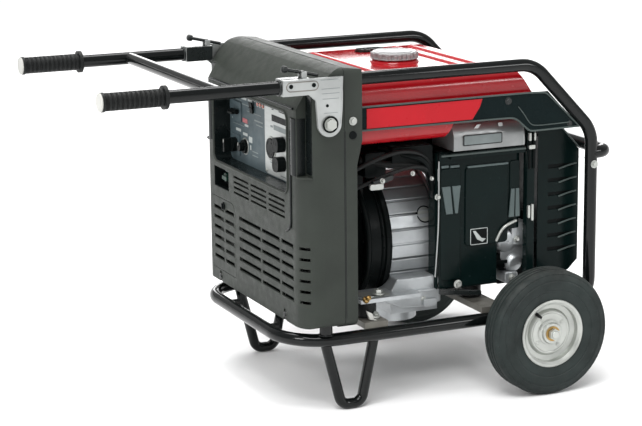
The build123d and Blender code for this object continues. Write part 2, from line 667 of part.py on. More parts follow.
# ---------------------------------------------------------------- fuel tank
TANK_FRONT_X = SHELL_REAR_X + 4
with BuildPart() as fuel_tank:
    with BuildSketch(side_plane(0)):
        Polygon(
            (TANK_FRONT_X, TANK_BOTTOM_Z), (172, TANK_BOTTOM_Z), (190, 556), (360, 556),
            (361, 598), (331, TANK_TOP_Z), (TANK_FRONT_X, TANK_TOP_Z), align=None,
        )
    extrude(amount=TANK_HALF_W, both=True)
    with BuildSketch(facing_front(TANK_FRONT_X - 1)):
        tank_h = TANK_TOP_Z - TANK_BOTTOM_Z
        with Locations((0, TANK_BOTTOM_Z + tank_h / 2)):
            RectangleRounded(2 * TANK_HALF_W, tank_h, 24)
    extrude(amount=-400, mode=Mode.INTERSECT)
    # pressed beads across the top
    for x in (72.0, 262.0, 300.0):
        with BuildSketch(side_plane(0)):
            with Locations((x, TANK_TOP_Z - 3)):
                Ellipse(9, 7)
        extrude(amount=TANK_HALF_W - 42, both=True)
    # filler boss and neck
    with Locations((CAP_X, 0, TANK_TOP_Z - 5)):
        Cylinder(44, 12, align=(Align.CENTER, Align.CENTER, Align.MIN))
    with Locations((CAP_X, 0, TANK_TOP_Z - 40)):
        neck = (Align.CENTER, Align.CENTER, Align.MIN)
        Cylinder(NECK_R, 60, align=neck, mode=Mode.SUBTRACT)
save(fuel_tank, "fuel_tank")

BOSS_TOP_Z = TANK_TOP_Z + 7
with BuildPart() as cap_core:
    rod((CAP_X, 0, BOSS_TOP_Z - 8), (CAP_X, 0, BOSS_TOP_Z), NECK_R - 0.5)
    rod((CAP_X, 0, BOSS_TOP_Z), (CAP_X, 0, BOSS_TOP_Z + 3), 34)
    rod((CAP_X, 0, BOSS_TOP_Z + 3), (CAP_X, 0, BOSS_TOP_Z + 10), 5)
save(cap_core, "cap_core")

with BuildPart() as fuel_cap:
    cap_low, cap_high = BOSS_TOP_Z + 0.5, BOSS_TOP_Z + 15
    with BuildSketch(Plane.XY.offset(cap_low)):
        with Locations((CAP_X, 0)):
            Circle(CAP_R - 2)
            with PolarLocations(CAP_R - 4, 16):
                Circle(5)
    extrude(amount=10)
    rod((CAP_X, 0, cap_low + 10), (CAP_X, 0, cap_high), CAP_R - 1)
    rod((CAP_X, 0, cap_low), (CAP_X, 0, BOSS_TOP_Z + 5), 39, mode=Mode.SUBTRACT)
    rod((CAP_X, 0, cap_low), (CAP_X, 0, BOSS_TOP_Z + 10.3), 5 + RUNNING_FIT, mode=Mode.SUBTRACT)
    chamfer(fuel_cap.edges().group_by(Axis.Z)[-1], 2)
save(fuel_cap, "fuel_cap")

with BuildPart() as fuel_gauge:
    with BuildSketch(Plane.XY.offset(TANK_TOP_Z)):
        with Locations((191, 160)):
            SlotOverall(62, 30)
    extrude(amount=6)
save(fuel_gauge, "fuel_gauge")

# ---------------------------------------------------------------- side panels and engine covers
for side, sign in SIDES.items():
    with BuildPart() as side_panel:
        with BuildSketch(side_plane(sign * 238)):
            with BuildLine():
                Polyline(
                    (SHELL_REAR_X + 4, 600), (389, 600), (462, 523), (348, 521), (318, 552),
                    (SHELL_REAR_X + 4, 554), close=True,
                )
            make_face()
        extrude(amount=1.5, both=True)
        ends = side_panel.edges().filter_by(Axis.Y).group_by(Axis.Z)[0]
        fillet(ends, 12)
    save(side_panel, f"side_panel_{side}")

with BuildPart() as heat_cover:
    for inset in (0.0, 2.0):
        mode = Mode.SUBTRACT if inset else Mode.ADD
        with BuildSketch(Plane.YZ.offset(198 + inset)) as arch:
            with BuildLine():
                Polyline((-75 - inset, 489), (-205 + inset, 489), (-205 + inset, 510))
                RadiusArc((-205 + inset, 510), (-168, 547 - inset), 37)
                Polyline((-168, 547 - inset), (-75 - inset, 547 - inset), (-75 - inset, 489))
            make_face()
        extrude(arch.sketch, amount=159 - 2 * inset, mode=mode)
    with BuildSketch(side_plane(0)):
        Polygon(
            (198, 489), (357, 489), (357, 532), (350, 547), (222, 547), (202, 510), align=None
        )
    extrude(amount=220, both=True, mode=Mode.INTERSECT)
save(heat_cover, "heat_cover")

SHIELD_X = (169.0, 359.0)
SHIELD_Z = (206.0, 486.0)
with BuildPart() as engine_shield:
    block(SHIELD_X, (-192, -153), SHIELD_Z)
    fillet(engine_shield.edges().filter_by(Axis.Z).group_by(Axis.Y)[0], 14)
    fillet(engine_shield.edges().filter_by(Axis.X).group_by(Axis.Y)[0], 6)
    inner_x = (SHIELD_X[0] + 3, SHIELD_X[1] - 3)
    block(inner_x, (-188, -148), (SHIELD_Z[0] - 1, SHIELD_Z[1] - 3), mode=Mode.SUBTRACT)
    with BuildSketch(side_plane(-150)):
        with Locations((346, 252)):
            RectangleRounded(86, 130, 30)
    extrude(amount=60, mode=Mode.SUBTRACT)
    # narrow tray under the heat cover
    block((192, 359), (-206, -192), (474, 486))
save(engine_shield, "engine_shield")

REAR_COVER_X = (392.0, 487.0)
LOUVRE_Z = [438.0 - 28.5 * row for row in range(7)]
with BuildPart() as rear_cover:
    for inset in (0.0, 3.0):
        mode = Mode.SUBTRACT if inset else Mode.ADD
        low_x = REAR_COVER_X[0] - 2 * inset
        high_x = REAR_COVER_X[1] - inset
        with BuildSketch(side_plane(0)) as outline:
            Polygon(
                (low_x, 219 + inset), (high_x - 22, 219 + inset), (high_x, 240), (high_x, 468),
                (high_x - 44, 518 - inset), (low_x, 518 - inset), align=None,
            )
        extrude(outline.sketch, amount=200 - inset, both=True, mode=mode)
    for sign in SIDES.values():
        for z in LOUVRE_Z:
            wall = sorted((sign * 195, sign * 205))
            block((416, 474), wall, (z - 4, z + 4), mode=Mode.SUBTRACT)
save(rear_cover, "rear_cover")

# ---------------------------------------------------------------- engine and alternator
CRANK = (CRANK_Y, CRANK_Z)
with BuildPart() as alternator_casing:
    rod((CASING_X[0], *CRANK), (CASING_X[1], *CRANK), CASING_R - 4)
    with BuildSketch(Plane.YZ.offset(CASING_X[0] + 4)):
        with Locations(CRANK):
            with PolarLocations(CASING_R - 4, 36):
                Rectangle(8, 12)
    extrude(amount=CASING_X[1] - CASING_X[0] - 8)
    # foot casting with arms to the front mounts, and the round sump below it
    block((86, 190), (-150, 150), (158, 214))
    for sign in SIDES.values():
        arm_y = sorted((sign * 140, sign * 214))
        block((-10, 120), arm_y, (MOUNT_TOP_Z, MOUNT_TOP_Z + 8))
    rod((150, CRANK_Y, 118), (150, CRANK_Y, 160), 52)
    rod((CASING_X[0] - 1, *CRANK), (CASING_X[1] + 1, *CRANK), CASING_R - 14, mode=Mode.SUBTRACT)
save(alternator_casing, "alternator_casing")

with BuildPart() as fan_cover:
    rod((42, *CRANK), (CASING_X[0], *CRANK), CASING_R + 6)
    rod((46, *CRANK), (CASING_X[0] + 1, *CRANK), CASING_R + 2, mode=Mode.SUBTRACT)
    with BuildSketch(facing_front(41)):
        with Locations((-CRANK_Y, CRANK_Z)):
            Circle(100)
            Circle(34, mode=Mode.SUBTRACT)
            with PolarLocations(67, 8):
                Rectangle(80, 7, mode=Mode.SUBTRACT)
    extrude(amount=-8, mode=Mode.SUBTRACT)
save(fan_cover, "fan_cover")

with BuildPart() as engine_block:
    block((194, 350), (-145, 95), (MOUNT_TOP_Z, 415))
    fillet(engine_block.edges().filter_by(Axis.X), 18)
    for sign in SIDES.values():
        block((250, 286), sorted((sign * 80, sign * 170)), (MOUNT_TOP_Z, MOUNT_TOP_Z + 12))
    # inclined cylinder with cooling fins
    cylinder_axis = Vector(0, cos(radians(25)), sin(radians(25)))
    foot = Vector(272, 60, 300)
    rod(tuple(foot), tuple(foot + cylinder_axis * 150), 46)
    for step in range(52, 150, 14):
        rod(tuple(foot + cylinder_axis * step), tuple(foot + cylinder_axis * (step + 5)), 60)
    rod((193, *CRANK), (351, *CRANK), 16 + RUNNING_FIT, mode=Mode.SUBTRACT)
    # oil filler boss beside the dipstick bore
    rod((322, -140, 246), (322, -158, 246), 17)
    rod((322, -159, 246), (322, -90, 246), 4, mode=Mode.SUBTRACT)
save(engine_block, "engine_block")

with BuildPart() as rotor_shaft:
    rod((52, *CRANK), (340, *CRANK), 16)
    rod((96, *CRANK), (176, *CRANK), CASING_R - 18)
save(rotor_shaft, "rotor_shaft")

with BuildPart() as cooling_fan:
    with BuildSketch(Plane.YZ.offset(56)):
        with Locations(CRANK):
            Circle(30)
            with PolarLocations(62, 10):
                Rectangle(72, 8)
            Circle(16, mode=Mode.SUBTRACT)
    extrude(amount=22)
save(cooling_fan, "cooling_fan")

with BuildPart() as oil_cap:
    rod((322, -158.2, 246), (322, -174, 246), 16)
    with BuildSketch(side_plane(-174)):
        with Locations((322, 246)):
            Rectangle(26, 7)
    extrude(amount=6)
    rod((322, -159, 246), (322, -100, 246), 3)
save(oil_cap, "oil_cap")

with BuildPart() as muffler:
    block((206, 348), (-194, -84), (492, 540))
    fillet(muffler.edges().filter_by(Axis.X), 16)
save(muffler, "muffler")

with BuildPart() as inverter_unit:
    block((-100, -52), (-212, 80), (200, 424))
    for row in range(14):
        fin_y = -205.0 + 21 * row
        block((-110, -100), (fin_y, fin_y + 4), (204, 420))
save(inverter_unit, "inverter_unit")

with BuildPart() as battery:
    block((-132, -48), (92, 212), (190, 318))
    for y in (112.0, 192.0):
        rod((-90, y, 318), (-90, y, 328), 8)
save(battery, "battery")

with BuildPart() as flange_bolts:
    spots = [(-46.5, COVER_HALF_W, 579.0), (REAR_X, SIDE_Y + TUBE_R, 446.0)]
    for sign in SIDES.values():
        for x, y, z in spots:
            rod((x, sign * y, z), (x, sign * (y + 1.5), z), 8)
            with BuildSketch(Plane(origin=(x, sign * (y + 1.5), z), z_dir=(0, sign, 0))):
                RegularPolygon(5.8, 6)
            extrude(amount=4.5)
    for y in (172.0, -165.0):
        rod((COVER_FRONT_X + 2, y, 191), (COVER_FRONT_X - 1, y, 191), 5)
save(flange_bolts, "flange_bolts")
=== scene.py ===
import json
import math

import bmesh
import bpy
from mathutils import Matrix, Vector


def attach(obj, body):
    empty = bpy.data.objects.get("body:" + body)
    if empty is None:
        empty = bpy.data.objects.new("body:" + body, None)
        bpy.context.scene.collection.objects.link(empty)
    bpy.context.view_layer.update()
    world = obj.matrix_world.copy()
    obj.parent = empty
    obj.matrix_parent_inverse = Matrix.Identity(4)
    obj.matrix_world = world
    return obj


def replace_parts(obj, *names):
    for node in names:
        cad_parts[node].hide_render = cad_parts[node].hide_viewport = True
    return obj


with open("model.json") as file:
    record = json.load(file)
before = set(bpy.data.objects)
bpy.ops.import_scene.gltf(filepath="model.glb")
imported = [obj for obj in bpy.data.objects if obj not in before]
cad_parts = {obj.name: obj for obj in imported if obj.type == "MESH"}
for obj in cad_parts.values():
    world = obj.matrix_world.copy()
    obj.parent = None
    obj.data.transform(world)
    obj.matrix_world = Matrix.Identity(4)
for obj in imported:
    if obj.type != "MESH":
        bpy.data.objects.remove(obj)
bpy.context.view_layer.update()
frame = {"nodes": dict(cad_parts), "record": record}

# Portable generator. Metres in Blender; the detail below is written in millimetres of the
# same frame: -X the control end, +X the wheel end, -Y the engine side, +Z up.
BODY = "generator"
SIDES = {"left": 1, "right": -1}

# places that several pieces share, in millimetres
COVER_FACE = -150.2
SEAM_X = -64.4
PANEL_X = -114.0
PLATE_X = PANEL_X - 1.5
RECESS_Y, RECESS_Z = 5.5, 513.5
DUPLEX_Y, DUPLEX_ROWS = -85, (511, 472)
VALVE_Y, VALVE_Z = 158.5, 402.5
VALVE_BACK, VALVE_FLOOR = -130.2, -130.6
SLOT_ROWS, SLOT_TOP, SLOT_PITCH, LIP_DROP = 6, 337.0, 21.1, 4.6
HANDLE_Y, TUBE_Z = 250, 651.5
PIVOT_X, PIVOT_Z = -98, 578.5
BRACKET_FACE = 269
BAND_FACE = 240.6
WHEEL_X, WHEEL_Y, WHEEL_Z = 360, 292, 127
FILLER_X, NECK_TOP, CAP_TOP = 170, 650, 665
CRANK_Y, CRANK_Z = -20, 300
SHIELD_FACE = -192.0
LOUVRE_ROWS, LOUVRE_TOP, LOUVRE_PITCH = 7, 438.0, 28.5


def mm(*values):
    """A point given in millimetres."""
    return Vector(values) / 1000


# ---------------------------------------------------------------- materials
PATCH_SCALE, CHIP_SCALE, DUST_SCALE, SMUDGE_SCALE = 14.0, 180.0, 45.0, 60.0
EDGE_RADIUS, RELIEF_DEPTH = 0.0009, 0.0006
COAT_ROUGHNESS, LEAST_ROUGHNESS = 0.08, 0.03
DUST_COLOUR = (0.42, 0.42, 0.39)


def material(
    name, colour, rough, metal=0.0, grain=600.0, bump=0.08, vary=0.12,
    coat=0.0, edge=0.8, wear=0.35, dust=0.0, rough_vary=0.08, stretch=(1, 1, 1), specular=0.5,
):
    """Procedural finish: uneven colour and roughness, fine grain, worn edges and light dust."""
    mat = bpy.data.materials.new(name)
    mat.use_nodes = True
    tree = mat.node_tree
    nodes, link = tree.nodes, tree.links.new
    shader = nodes["Principled BSDF"]
    shader.inputs["Metallic"].default_value = metal
    shader.inputs["Coat Weight"].default_value = coat
    shader.inputs["Coat Roughness"].default_value = COAT_ROUGHNESS
    shader.inputs["Specular IOR Level"].default_value = specular

    place = nodes.new("ShaderNodeTexCoord")
    stretcher = nodes.new("ShaderNodeMapping")
    stretcher.inputs["Scale"].default_value = stretch
    link(place.outputs["Object"], stretcher.inputs["Vector"])

    def noise(scale, detail=4.0):
        node = nodes.new("ShaderNodeTexNoise")
        node.inputs["Scale"].default_value = scale
        node.inputs["Detail"].default_value = detail
        link(stretcher.outputs["Vector"], node.inputs["Vector"])
        return node.outputs["Fac"]

    def spread(source, low, high, out_low, out_high):
        node = nodes.new("ShaderNodeMapRange")
        for key, value in (
            ("From Min", low), ("From Max", high), ("To Min", out_low), ("To Max", out_high),
        ):
            node.inputs[key].default_value = value
        link(source, node.inputs["Value"])
        return node.outputs["Result"]

    def maths(operation, first, second):
        node = nodes.new("ShaderNodeMath")
        node.operation = operation
        for socket, value in zip(node.inputs, (first, second)):
            if isinstance(value, float):
                socket.default_value = value
            else:
                link(value, socket)
        return node.outputs["Value"]

    def blend(factor, first, second):
        node = nodes.new("ShaderNodeMix")
        node.data_type = "RGBA"
        link(factor, node.inputs["Factor"])
        for key, value in (("A", first), ("B", second)):
            socket = next(s for s in node.inputs if s.name == key and s.type == "RGBA")
            if isinstance(value, tuple):
                socket.default_value = (*value, 1)
            else:
                link(value, socket)
        return next(s for s in node.outputs if s.type == "RGBA")

    dark = tuple(c * (1 - vary) for c in colour)
    light = tuple(min(1.0, c * (1 + vary)) for c in colour)
    patches = spread(noise(PATCH_SCALE), 0.35, 0.65, 0.0, 1.0)
    shade = blend(patches, dark, light)

    # worn edges: where the rounded normal leaves the flat one
    rounded = nodes.new("ShaderNodeBevel")
    rounded.samples = 4
    rounded.inputs["Radius"].default_value = EDGE_RADIUS
    surface = nodes.new("ShaderNodeNewGeometry")
    turn = nodes.new("ShaderNodeVectorMath")
    turn.operation = "DOT_PRODUCT"
    link(rounded.outputs["Normal"], turn.inputs[0])
    link(surface.outputs["Normal"], turn.inputs[1])
    corner = spread(turn.outputs["Value"], 0.985, 0.8, 0.0, wear)
    chipped = maths("MULTIPLY", corner, spread(noise(CHIP_SCALE), 0.4, 0.62, 0.25, 1.0))
    worn = tuple(c + (edge - c) * 0.45 for c in colour)
    shade = blend(chipped, shade, worn)

    # dust that settles on upward faces
    if dust:
        up = nodes.new("ShaderNodeSeparateXYZ")
        link(surface.outputs["Normal"], up.inputs["Vector"])
        facing = spread(up.outputs["Z"], 0.2, 1.0, 0.0, dust)
        settled = maths("MULTIPLY", facing, spread(noise(DUST_SCALE), 0.35, 0.7, 0.2, 1.0))
        shade = blend(settled, shade, DUST_COLOUR)
    link(shade, shader.inputs["Base Color"])
    low, high = max(LEAST_ROUGHNESS, rough - rough_vary), min(1.0, rough + rough_vary)
    link(spread(noise(SMUDGE_SCALE), 0.3, 0.7, low, high), shader.inputs["Roughness"])

    relief = nodes.new("ShaderNodeBump")
    relief.inputs["Strength"].default_value = bump
    relief.inputs["Distance"].default_value = RELIEF_DEPTH
    link(noise(grain, 2.0), relief.inputs["Height"])
    link(rounded.outputs["Normal"], relief.inputs["Normal"])
    link(relief.outputs["Normal"], shader.inputs["Normal"])
    return mat


MATERIALS = {
    "frame_paint": material(
        "frame_paint", (0.003, 0.004, 0.004), 0.12, grain=120, bump=0.04, coat=0.0, edge=0.25,
        wear=0.15, dust=0.0, specular=0.3, rough_vary=0.05,
    ),
    "cover_plastic": material(
        "cover_plastic", (0.027, 0.032, 0.027), 0.48, grain=1500, bump=0.35, edge=0.3, wear=0.2,
        dust=0.05, vary=0.1, specular=0.22,
    ),
    # near-black cover plastic, used in the recess, the corner pillars and pockets, the hood lip, the face
    # groove and the side ribs: painted shade
    "cover_painted_shade": material(
        "cover_painted_shade", (0.0035, 0.0055, 0.0055), 0.26, grain=1500, bump=0.04, vary=0.04, rough_vary=0.02,
        edge=0.12, wear=0.1, dust=0.0, specular=0.25,
    ),
    "tank_paint": material(
        "tank_paint", (0.36, 0.003, 0.008), 0.2, grain=80, bump=0.03, coat=0.3, vary=0.08, edge=0.4,
        wear=0.12, dust=0.02, specular=0.35,
    ),
    "decal_red": material(
        "decal_red", (0.42, 0.004, 0.011), 0.34, grain=900, bump=0.04, vary=0.05, wear=0.0,
        specular=0.25,
    ),
    "panel_paint": material(
        "panel_paint", (0.06, 0.085, 0.095), 0.45, grain=1800, bump=0.12, wear=0.1, specular=0.3,
    ),
    "plate_white": material(
        "plate_white", (0.46, 0.48, 0.47), 0.36, metal=0.35, grain=900, bump=0.05, stretch=(1, 1, 12),
        vary=0.05,
    ),
    "black_plastic": material(
        "black_plastic", (0.003, 0.0045, 0.0045), 0.34, grain=900, bump=0.12, edge=0.15, wear=0.2,
        dust=0.0, specular=0.08,
    ),
    "rubber_black": material(
        "rubber_black", (0.005, 0.006, 0.006), 0.5, grain=1300, bump=0.25, edge=0.2, wear=0.2,
        dust=0.03, specular=0.25,
    ),
    "tyre_rubber": material(
        "tyre_rubber", (0.016, 0.022, 0.021), 0.66, grain=700, bump=0.3, edge=0.2, wear=0.25, dust=0.1,
        vary=0.3, specular=0.25,
    ),
    "zinc_steel": material(
        "zinc_steel", (0.44, 0.455, 0.43), 0.36, metal=0.75, grain=300, bump=0.06, edge=0.75, vary=0.12,
    ),
    "cast_aluminium": material(
        "cast_aluminium", (0.4, 0.42, 0.43), 0.36, metal=0.7, grain=700, bump=0.35, edge=0.8, vary=0.16,
    ),
    "cast_grey": material(
        "cast_grey", (0.28, 0.29, 0.29), 0.36, metal=0.55, grain=500, bump=0.25, edge=0.6, vary=0.15,
        dust=0.02,
    ),
    "band_black": material(
        "band_black", (0.0035, 0.0085, 0.009), 0.3, grain=900, bump=0.06, edge=0.2, wear=0.1, dust=0.0,
        specular=0.07,
    ),
    "bright_alu": material(
        "bright_alu", (0.4, 0.415, 0.41), 0.36, metal=0.75, grain=500, bump=0.15, edge=0.85, vary=0.12,
    ),
    "bronze": material("bronze", (0.38, 0.24, 0.08), 0.4, metal=0.85, grain=500, bump=0.1, edge=0.7),
    "white_plastic": material(
        "white_plastic", (0.5, 0.5, 0.47), 0.35, grain=400, bump=0.05, edge=0.8, wear=0.1,
    ),
    "grey_plastic": material(
        "grey_plastic", (0.3, 0.3, 0.3), 0.34, metal=0.2, grain=400, bump=0.05, edge=0.7,
    ),
    "lens": material("lens", (0.012, 0.015, 0.013), 0.12, grain=60, bump=0.02, coat=0.8, wear=0.1),
    "lamp": material("lamp", (0.35, 0.05, 0.02), 0.2, grain=200, bump=0.05, coat=0.4, wear=0.1),
    "green_plastic": material(
        "green_plastic", (0.006, 0.03, 0.02), 0.4, grain=700, bump=0.1, specular=0.3,
    ),
    "black_steel": material(
        "black_steel", (0.008, 0.0105, 0.0105), 0.3, grain=250, bump=0.08, edge=0.4, wear=0.4, coat=0.1,
        dust=0.04, specular=0.35,
    ),
    # pale olive lines along the edges and lips of the black covers: painted highlights
    "edge_painted_highlight": material(
        "edge_painted_highlight", (0.055, 0.072, 0.068), 0.36, grain=500, bump=0.1, edge=0.4, wear=0.25, dust=0.0,
        specular=0.3,
    ),
    "shield_gloss": material(
        "shield_gloss", (0.0025, 0.0075, 0.0072), 0.2, grain=90, bump=0.12, coat=0.0, edge=0.15,
        wear=0.2, dust=0.0, specular=0.1,
    ),
    # pale grey for the shield's ribs and bars: painted highlights
    "shield_painted_highlight": material(
        "shield_painted_highlight", (0.075, 0.1, 0.1), 0.4, grain=900, bump=0.1, edge=0.5, wear=0.15, dust=0.0,
        specular=0.3,
    ),
    "mark_pale": material("mark_pale", (0.4, 0.43, 0.42), 0.45, grain=1200, bump=0.05, wear=0.0),
    "mark_grey": material("mark_grey", (0.17, 0.2, 0.2), 0.45, grain=1200, bump=0.05, wear=0.0),
    "mark_rose": material("mark_rose", (0.42, 0.11, 0.12), 0.45, grain=1200, bump=0.05, wear=0.0),
    "muffler_steel": material(
        "muffler_steel", (0.2, 0.19, 0.175), 0.45, metal=0.8, grain=300, bump=0.15, vary=0.25,
    ),
    "dull_steel": material(
        "dull_steel", (0.12, 0.115, 0.1), 0.5, metal=0.3, grain=300, bump=0.2, vary=0.25, dust=0.15,
    ),
}
# CAD pieces whose look differs from the plain finish of their slot
OWN_FINISH = {
    "engine_shield": "shield_gloss",
    "heat_cover": "cast_grey",
    "side_panel_right": "band_black",
    "side_panel_left": "band_black",
    "rear_cover": "shield_gloss",
    "muffler": "muffler_steel",
    "crossmembers": "dull_steel",
}
slot_of = {part["node"]: part["material_slot"] for part in frame["record"]["subparts"]}
for node, obj in frame["nodes"].items():
    finish_name = OWN_FINISH.get(node, slot_of[node])
    for material_slot in obj.material_slots:
        material_slot.material = MATERIALS[finish_name]


# ---------------------------------------------------------------- mesh helpers
BOLT_FLANGE = 1.45
AXIS_FRAMES = {
    "X": lambda a, b, level: mm(level, a, b),
    "Y": lambda a, b, level: mm(a, level, b),
    "Z": lambda a, b, level: mm(a, b, level),
}


def rectangle(a, b, width, height, radius=2.0, steps=4):
    """Rounded rectangle centred on (a, b), as a list of points."""
    points = []
    radius = min(radius, width / 2 - 0.01, height / 2 - 0.01)
    corners = ((1, 1, 0), (-1, 1, 90), (-1, -1, 180), (1, -1, 270))
    for side_a, side_b, start in corners:
        for step in range(steps + 1):
            turn = math.radians(start + 90 * step / steps)
            points.append((
                a + side_a * (width / 2 - radius) + radius * math.cos(turn),
                b + side_b * (height / 2 - radius) + radius * math.sin(turn),
            ))
    return points


def circle(a, b, radius, count):
    """Circle centred on (a, b), as a list of points."""
    turns = (2 * math.pi * step / count for step in range(count))
    return [(a + radius * math.cos(t), b + radius * math.sin(t)) for t in turns]


def add_plate(mesh, axis, outline, low, high):
    """Adds a plate with that outline between two levels along an axis."""
    place = AXIS_FRAMES[axis]
    bottom = [mesh.verts.new(place(a, b, low)) for a, b in outline]
    top = [mesh.verts.new(place(a, b, high)) for a, b in outline]
    mesh.faces.new(bottom)
    mesh.faces.new(reversed(top))
    count = len(outline)
    for i in range(count):
        mesh.faces.new((bottom[i], top[i], top[(i + 1) % count], bottom[(i + 1) % count]))


def add_frame(mesh, axis, outer, inner, low, high):
    """Adds a plate with a hole: both outlines have the same number of points."""
    place = AXIS_FRAMES[axis]
    loops = [
        [mesh.verts.new(place(a, b, at)) for a, b in line]
        for line, at in ((outer, low), (outer, high), (inner, high), (inner, low))
    ]
    count = len(outer)
    for first, second in zip(loops, loops[1:] + loops[:1]):
        for i in range(count):
            j = (i + 1) % count
            mesh.faces.new((first[i], second[i], second[j], first[j]))


def add_ring(mesh, centre, axis, profile, count=40):
    """Adds a turned piece: profile points are (radius, distance along the axis) in mm."""
    axis = Vector(axis).normalized()
    across = axis.orthogonal().normalized()
    other = axis.cross(across)
    centre = mm(*centre)
    rows = []
    for step in range(count):
        turn = 2 * math.pi * step / count
        out = across * math.cos(turn) + other * math.sin(turn)
        rows.append([mesh.verts.new(centre + (out * r + axis * t) / 1000) for r, t in profile])
    for step in range(count):
        row, following = rows[step], rows[(step + 1) % count]
        for i in range(len(profile)):
            j = (i + 1) % len(profile)
            mesh.faces.new((row[i], row[j], following[j], following[i]))


def add_hex_bolt(mesh, centre, axis, radius, height):
    """Adds a flange bolt head standing on a point."""
    axis = Vector(axis).normalized()
    rim = radius * BOLT_FLANGE
    add_ring(
        mesh, centre, axis,
        [(0.2, 0), (rim, 0), (rim, height * 0.2), (radius * 1.05, height * 0.32), (0.2, height * 0.32)],
        28,
    )
    add_ring(mesh, centre, axis, [
        (0.2, height * 0.3), (radius, height * 0.3), (radius, height * 0.85),
        (radius * 0.86, height), (radius * 0.3, height), (radius * 0.2, height * 0.9), (0.2, height * 0.9),
    ], 6)


def finish_piece(name, mesh, finish_name, body=BODY, bevel=0.0, smooth=35.0):
    """Makes the object, with its finish and body."""
    bmesh.ops.recalc_face_normals(mesh, faces=mesh.faces)
    data = bpy.data.meshes.new(name)
    mesh.to_mesh(data)
    mesh.free()
    obj = bpy.data.objects.new(name, data)
    bpy.context.scene.collection.objects.link(obj)
    data.materials.append(MATERIALS[finish_name])
    data.shade_smooth()
    data.set_sharp_from_angle(angle=math.radians(smooth))
    if bevel:
        rounding = obj.modifiers.new("rounding", "BEVEL")
        rounding.width = bevel / 1000
        rounding.segments = 2
        rounding.limit_method = "ANGLE"
        rounding.harden_normals = True
    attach(obj, body)
    return obj


def plates(name, axis, items, finish_name, **options):
    """One piece made of several plates: each item is (outline, low, high)."""
    mesh = bmesh.new()
    for outline, low, high in items:
        add_plate(mesh, axis, outline, low, high)
    return finish_piece(name, mesh, finish_name, **options)


def rings(name, items, finish_name, **options):
    """One piece made of several turned shapes: each item is (centre, axis, profile)."""
    mesh = bmesh.new()
    for centre, axis, profile in items:
        add_ring(mesh, centre, axis, profile)
    return finish_piece(name, mesh, finish_name, **options)


def bolts(name, items, finish_name="zinc_steel", **options):
    """One piece made of several flange bolt heads: each item is (centre, axis, radius, height)."""
    mesh = bmesh.new()
    for centre, axis, radius, height in items:
        add_hex_bolt(mesh, centre, axis, radius, height)
    return finish_piece(name, mesh, finish_name, **options)


def hose(name, routes, radius, finish_name, body=BODY, closed=False):
    """Round bars or hoses along smooth routes of points in mm, as one curve object."""
    curve = bpy.data.curves.new(name, "CURVE")
    curve.dimensions = "3D"
    curve.bevel_depth = radius / 1000
    curve.bevel_resolution = 4
    curve.resolution_u = 8
    curve.use_fill_caps = True
    for points in routes:
        spline = curve.splines.new("NURBS")
        spline.points.add(len(points) - 1)
        for point, place in zip(spline.points, points):
            point.co = (*mm(*place), 1)
        spline.order_u = 3
        spline.use_cyclic_u = closed
        spline.use_endpoint_u = not closed
    curve.materials.append(MATERIALS[finish_name])
    obj = bpy.data.objects.new(name, curve)
    bpy.context.scene.collection.objects.link(obj)
    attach(obj, body)
    return obj


# ---------------------------------------------------------------- control panel
MARK_THICK = 0.35


def marks(name, items, finish_name, level=PANEL_X):
    """Flat printed marks on the panel: each item is (y, z, width, height)."""
    outlines = [(rectangle(y, z, w, h, 0.8, 2), level - MARK_THICK, level) for y, z, w, h in items]
    return plates(name, "X", outlines, finish_name)


marks("panel_marks_pale", [
    (172, 568, 20, 6), (172, 556, 12, 3), (116, 574, 26, 9), (84, 574, 22, 7), (50, 576, 22, 5),
    (148, 503, 26, 6), (112, 499, 24, 6), (84, 492, 18, 12), (84, 476, 6, 10), (176, 524, 12, 3),
    (104, 518, 20, 5),
], "mark_pale")
marks("panel_marks_grey", [
    (100, 560, 60, 2), (64, 549, 76, 1.4), (150, 566, 40, 1.4), (146, 514, 60, 1.4),
    (40, 536, 44, 3), (36, 528, 34, 2.4), (60, 470, 30, 2), (60, 462, 30, 2),
], "mark_grey")
marks("panel_mark_rose", [(112, 527, 26, 9)], "mark_rose")
plate_bands = [(-66, 556, 70, 13), (-36, 573, 10, 2), (-86, 573, 40, 2)]
marks("plate_band_black", plate_bands, "black_plastic", PLATE_X)
marks("plate_band_grey", [(-72, 538, 64, 10), (-30, 538, 12, 4)], "mark_grey", PLATE_X)
marks("plate_marks", [
    (-30, 470, 24, 2), (-30, 465, 18, 2), (-85, 446, 26, 2), (-142, 500, 40, 2),
    (-142, 494, 34, 2), (-142, 486, 40, 2), (-142, 470, 26, 2),
], "mark_grey", PLATE_X)

# rounded lip round the recess, and a near-black lining inside it that is painted shade in the recess
recess = rectangle(RECESS_Y, RECESS_Z, 384, 160, 18, 8)
hose("recess_lip", [[(-150.4, y, z) for y, z in recess]], 2.2, "cover_plastic", closed=True)
mesh = bmesh.new()
recess_shade_outer = rectangle(RECESS_Y, RECESS_Z, 378.8, 154.8, 16, 6)
recess_shade_inner = rectangle(RECESS_Y, RECESS_Z, 376.4, 152.4, 15, 6)
add_frame(mesh, "X", recess_shade_outer, recess_shade_inner, -149.6, -114.2)
finish_piece("recess_painted_shade", mesh, "cover_painted_shade")

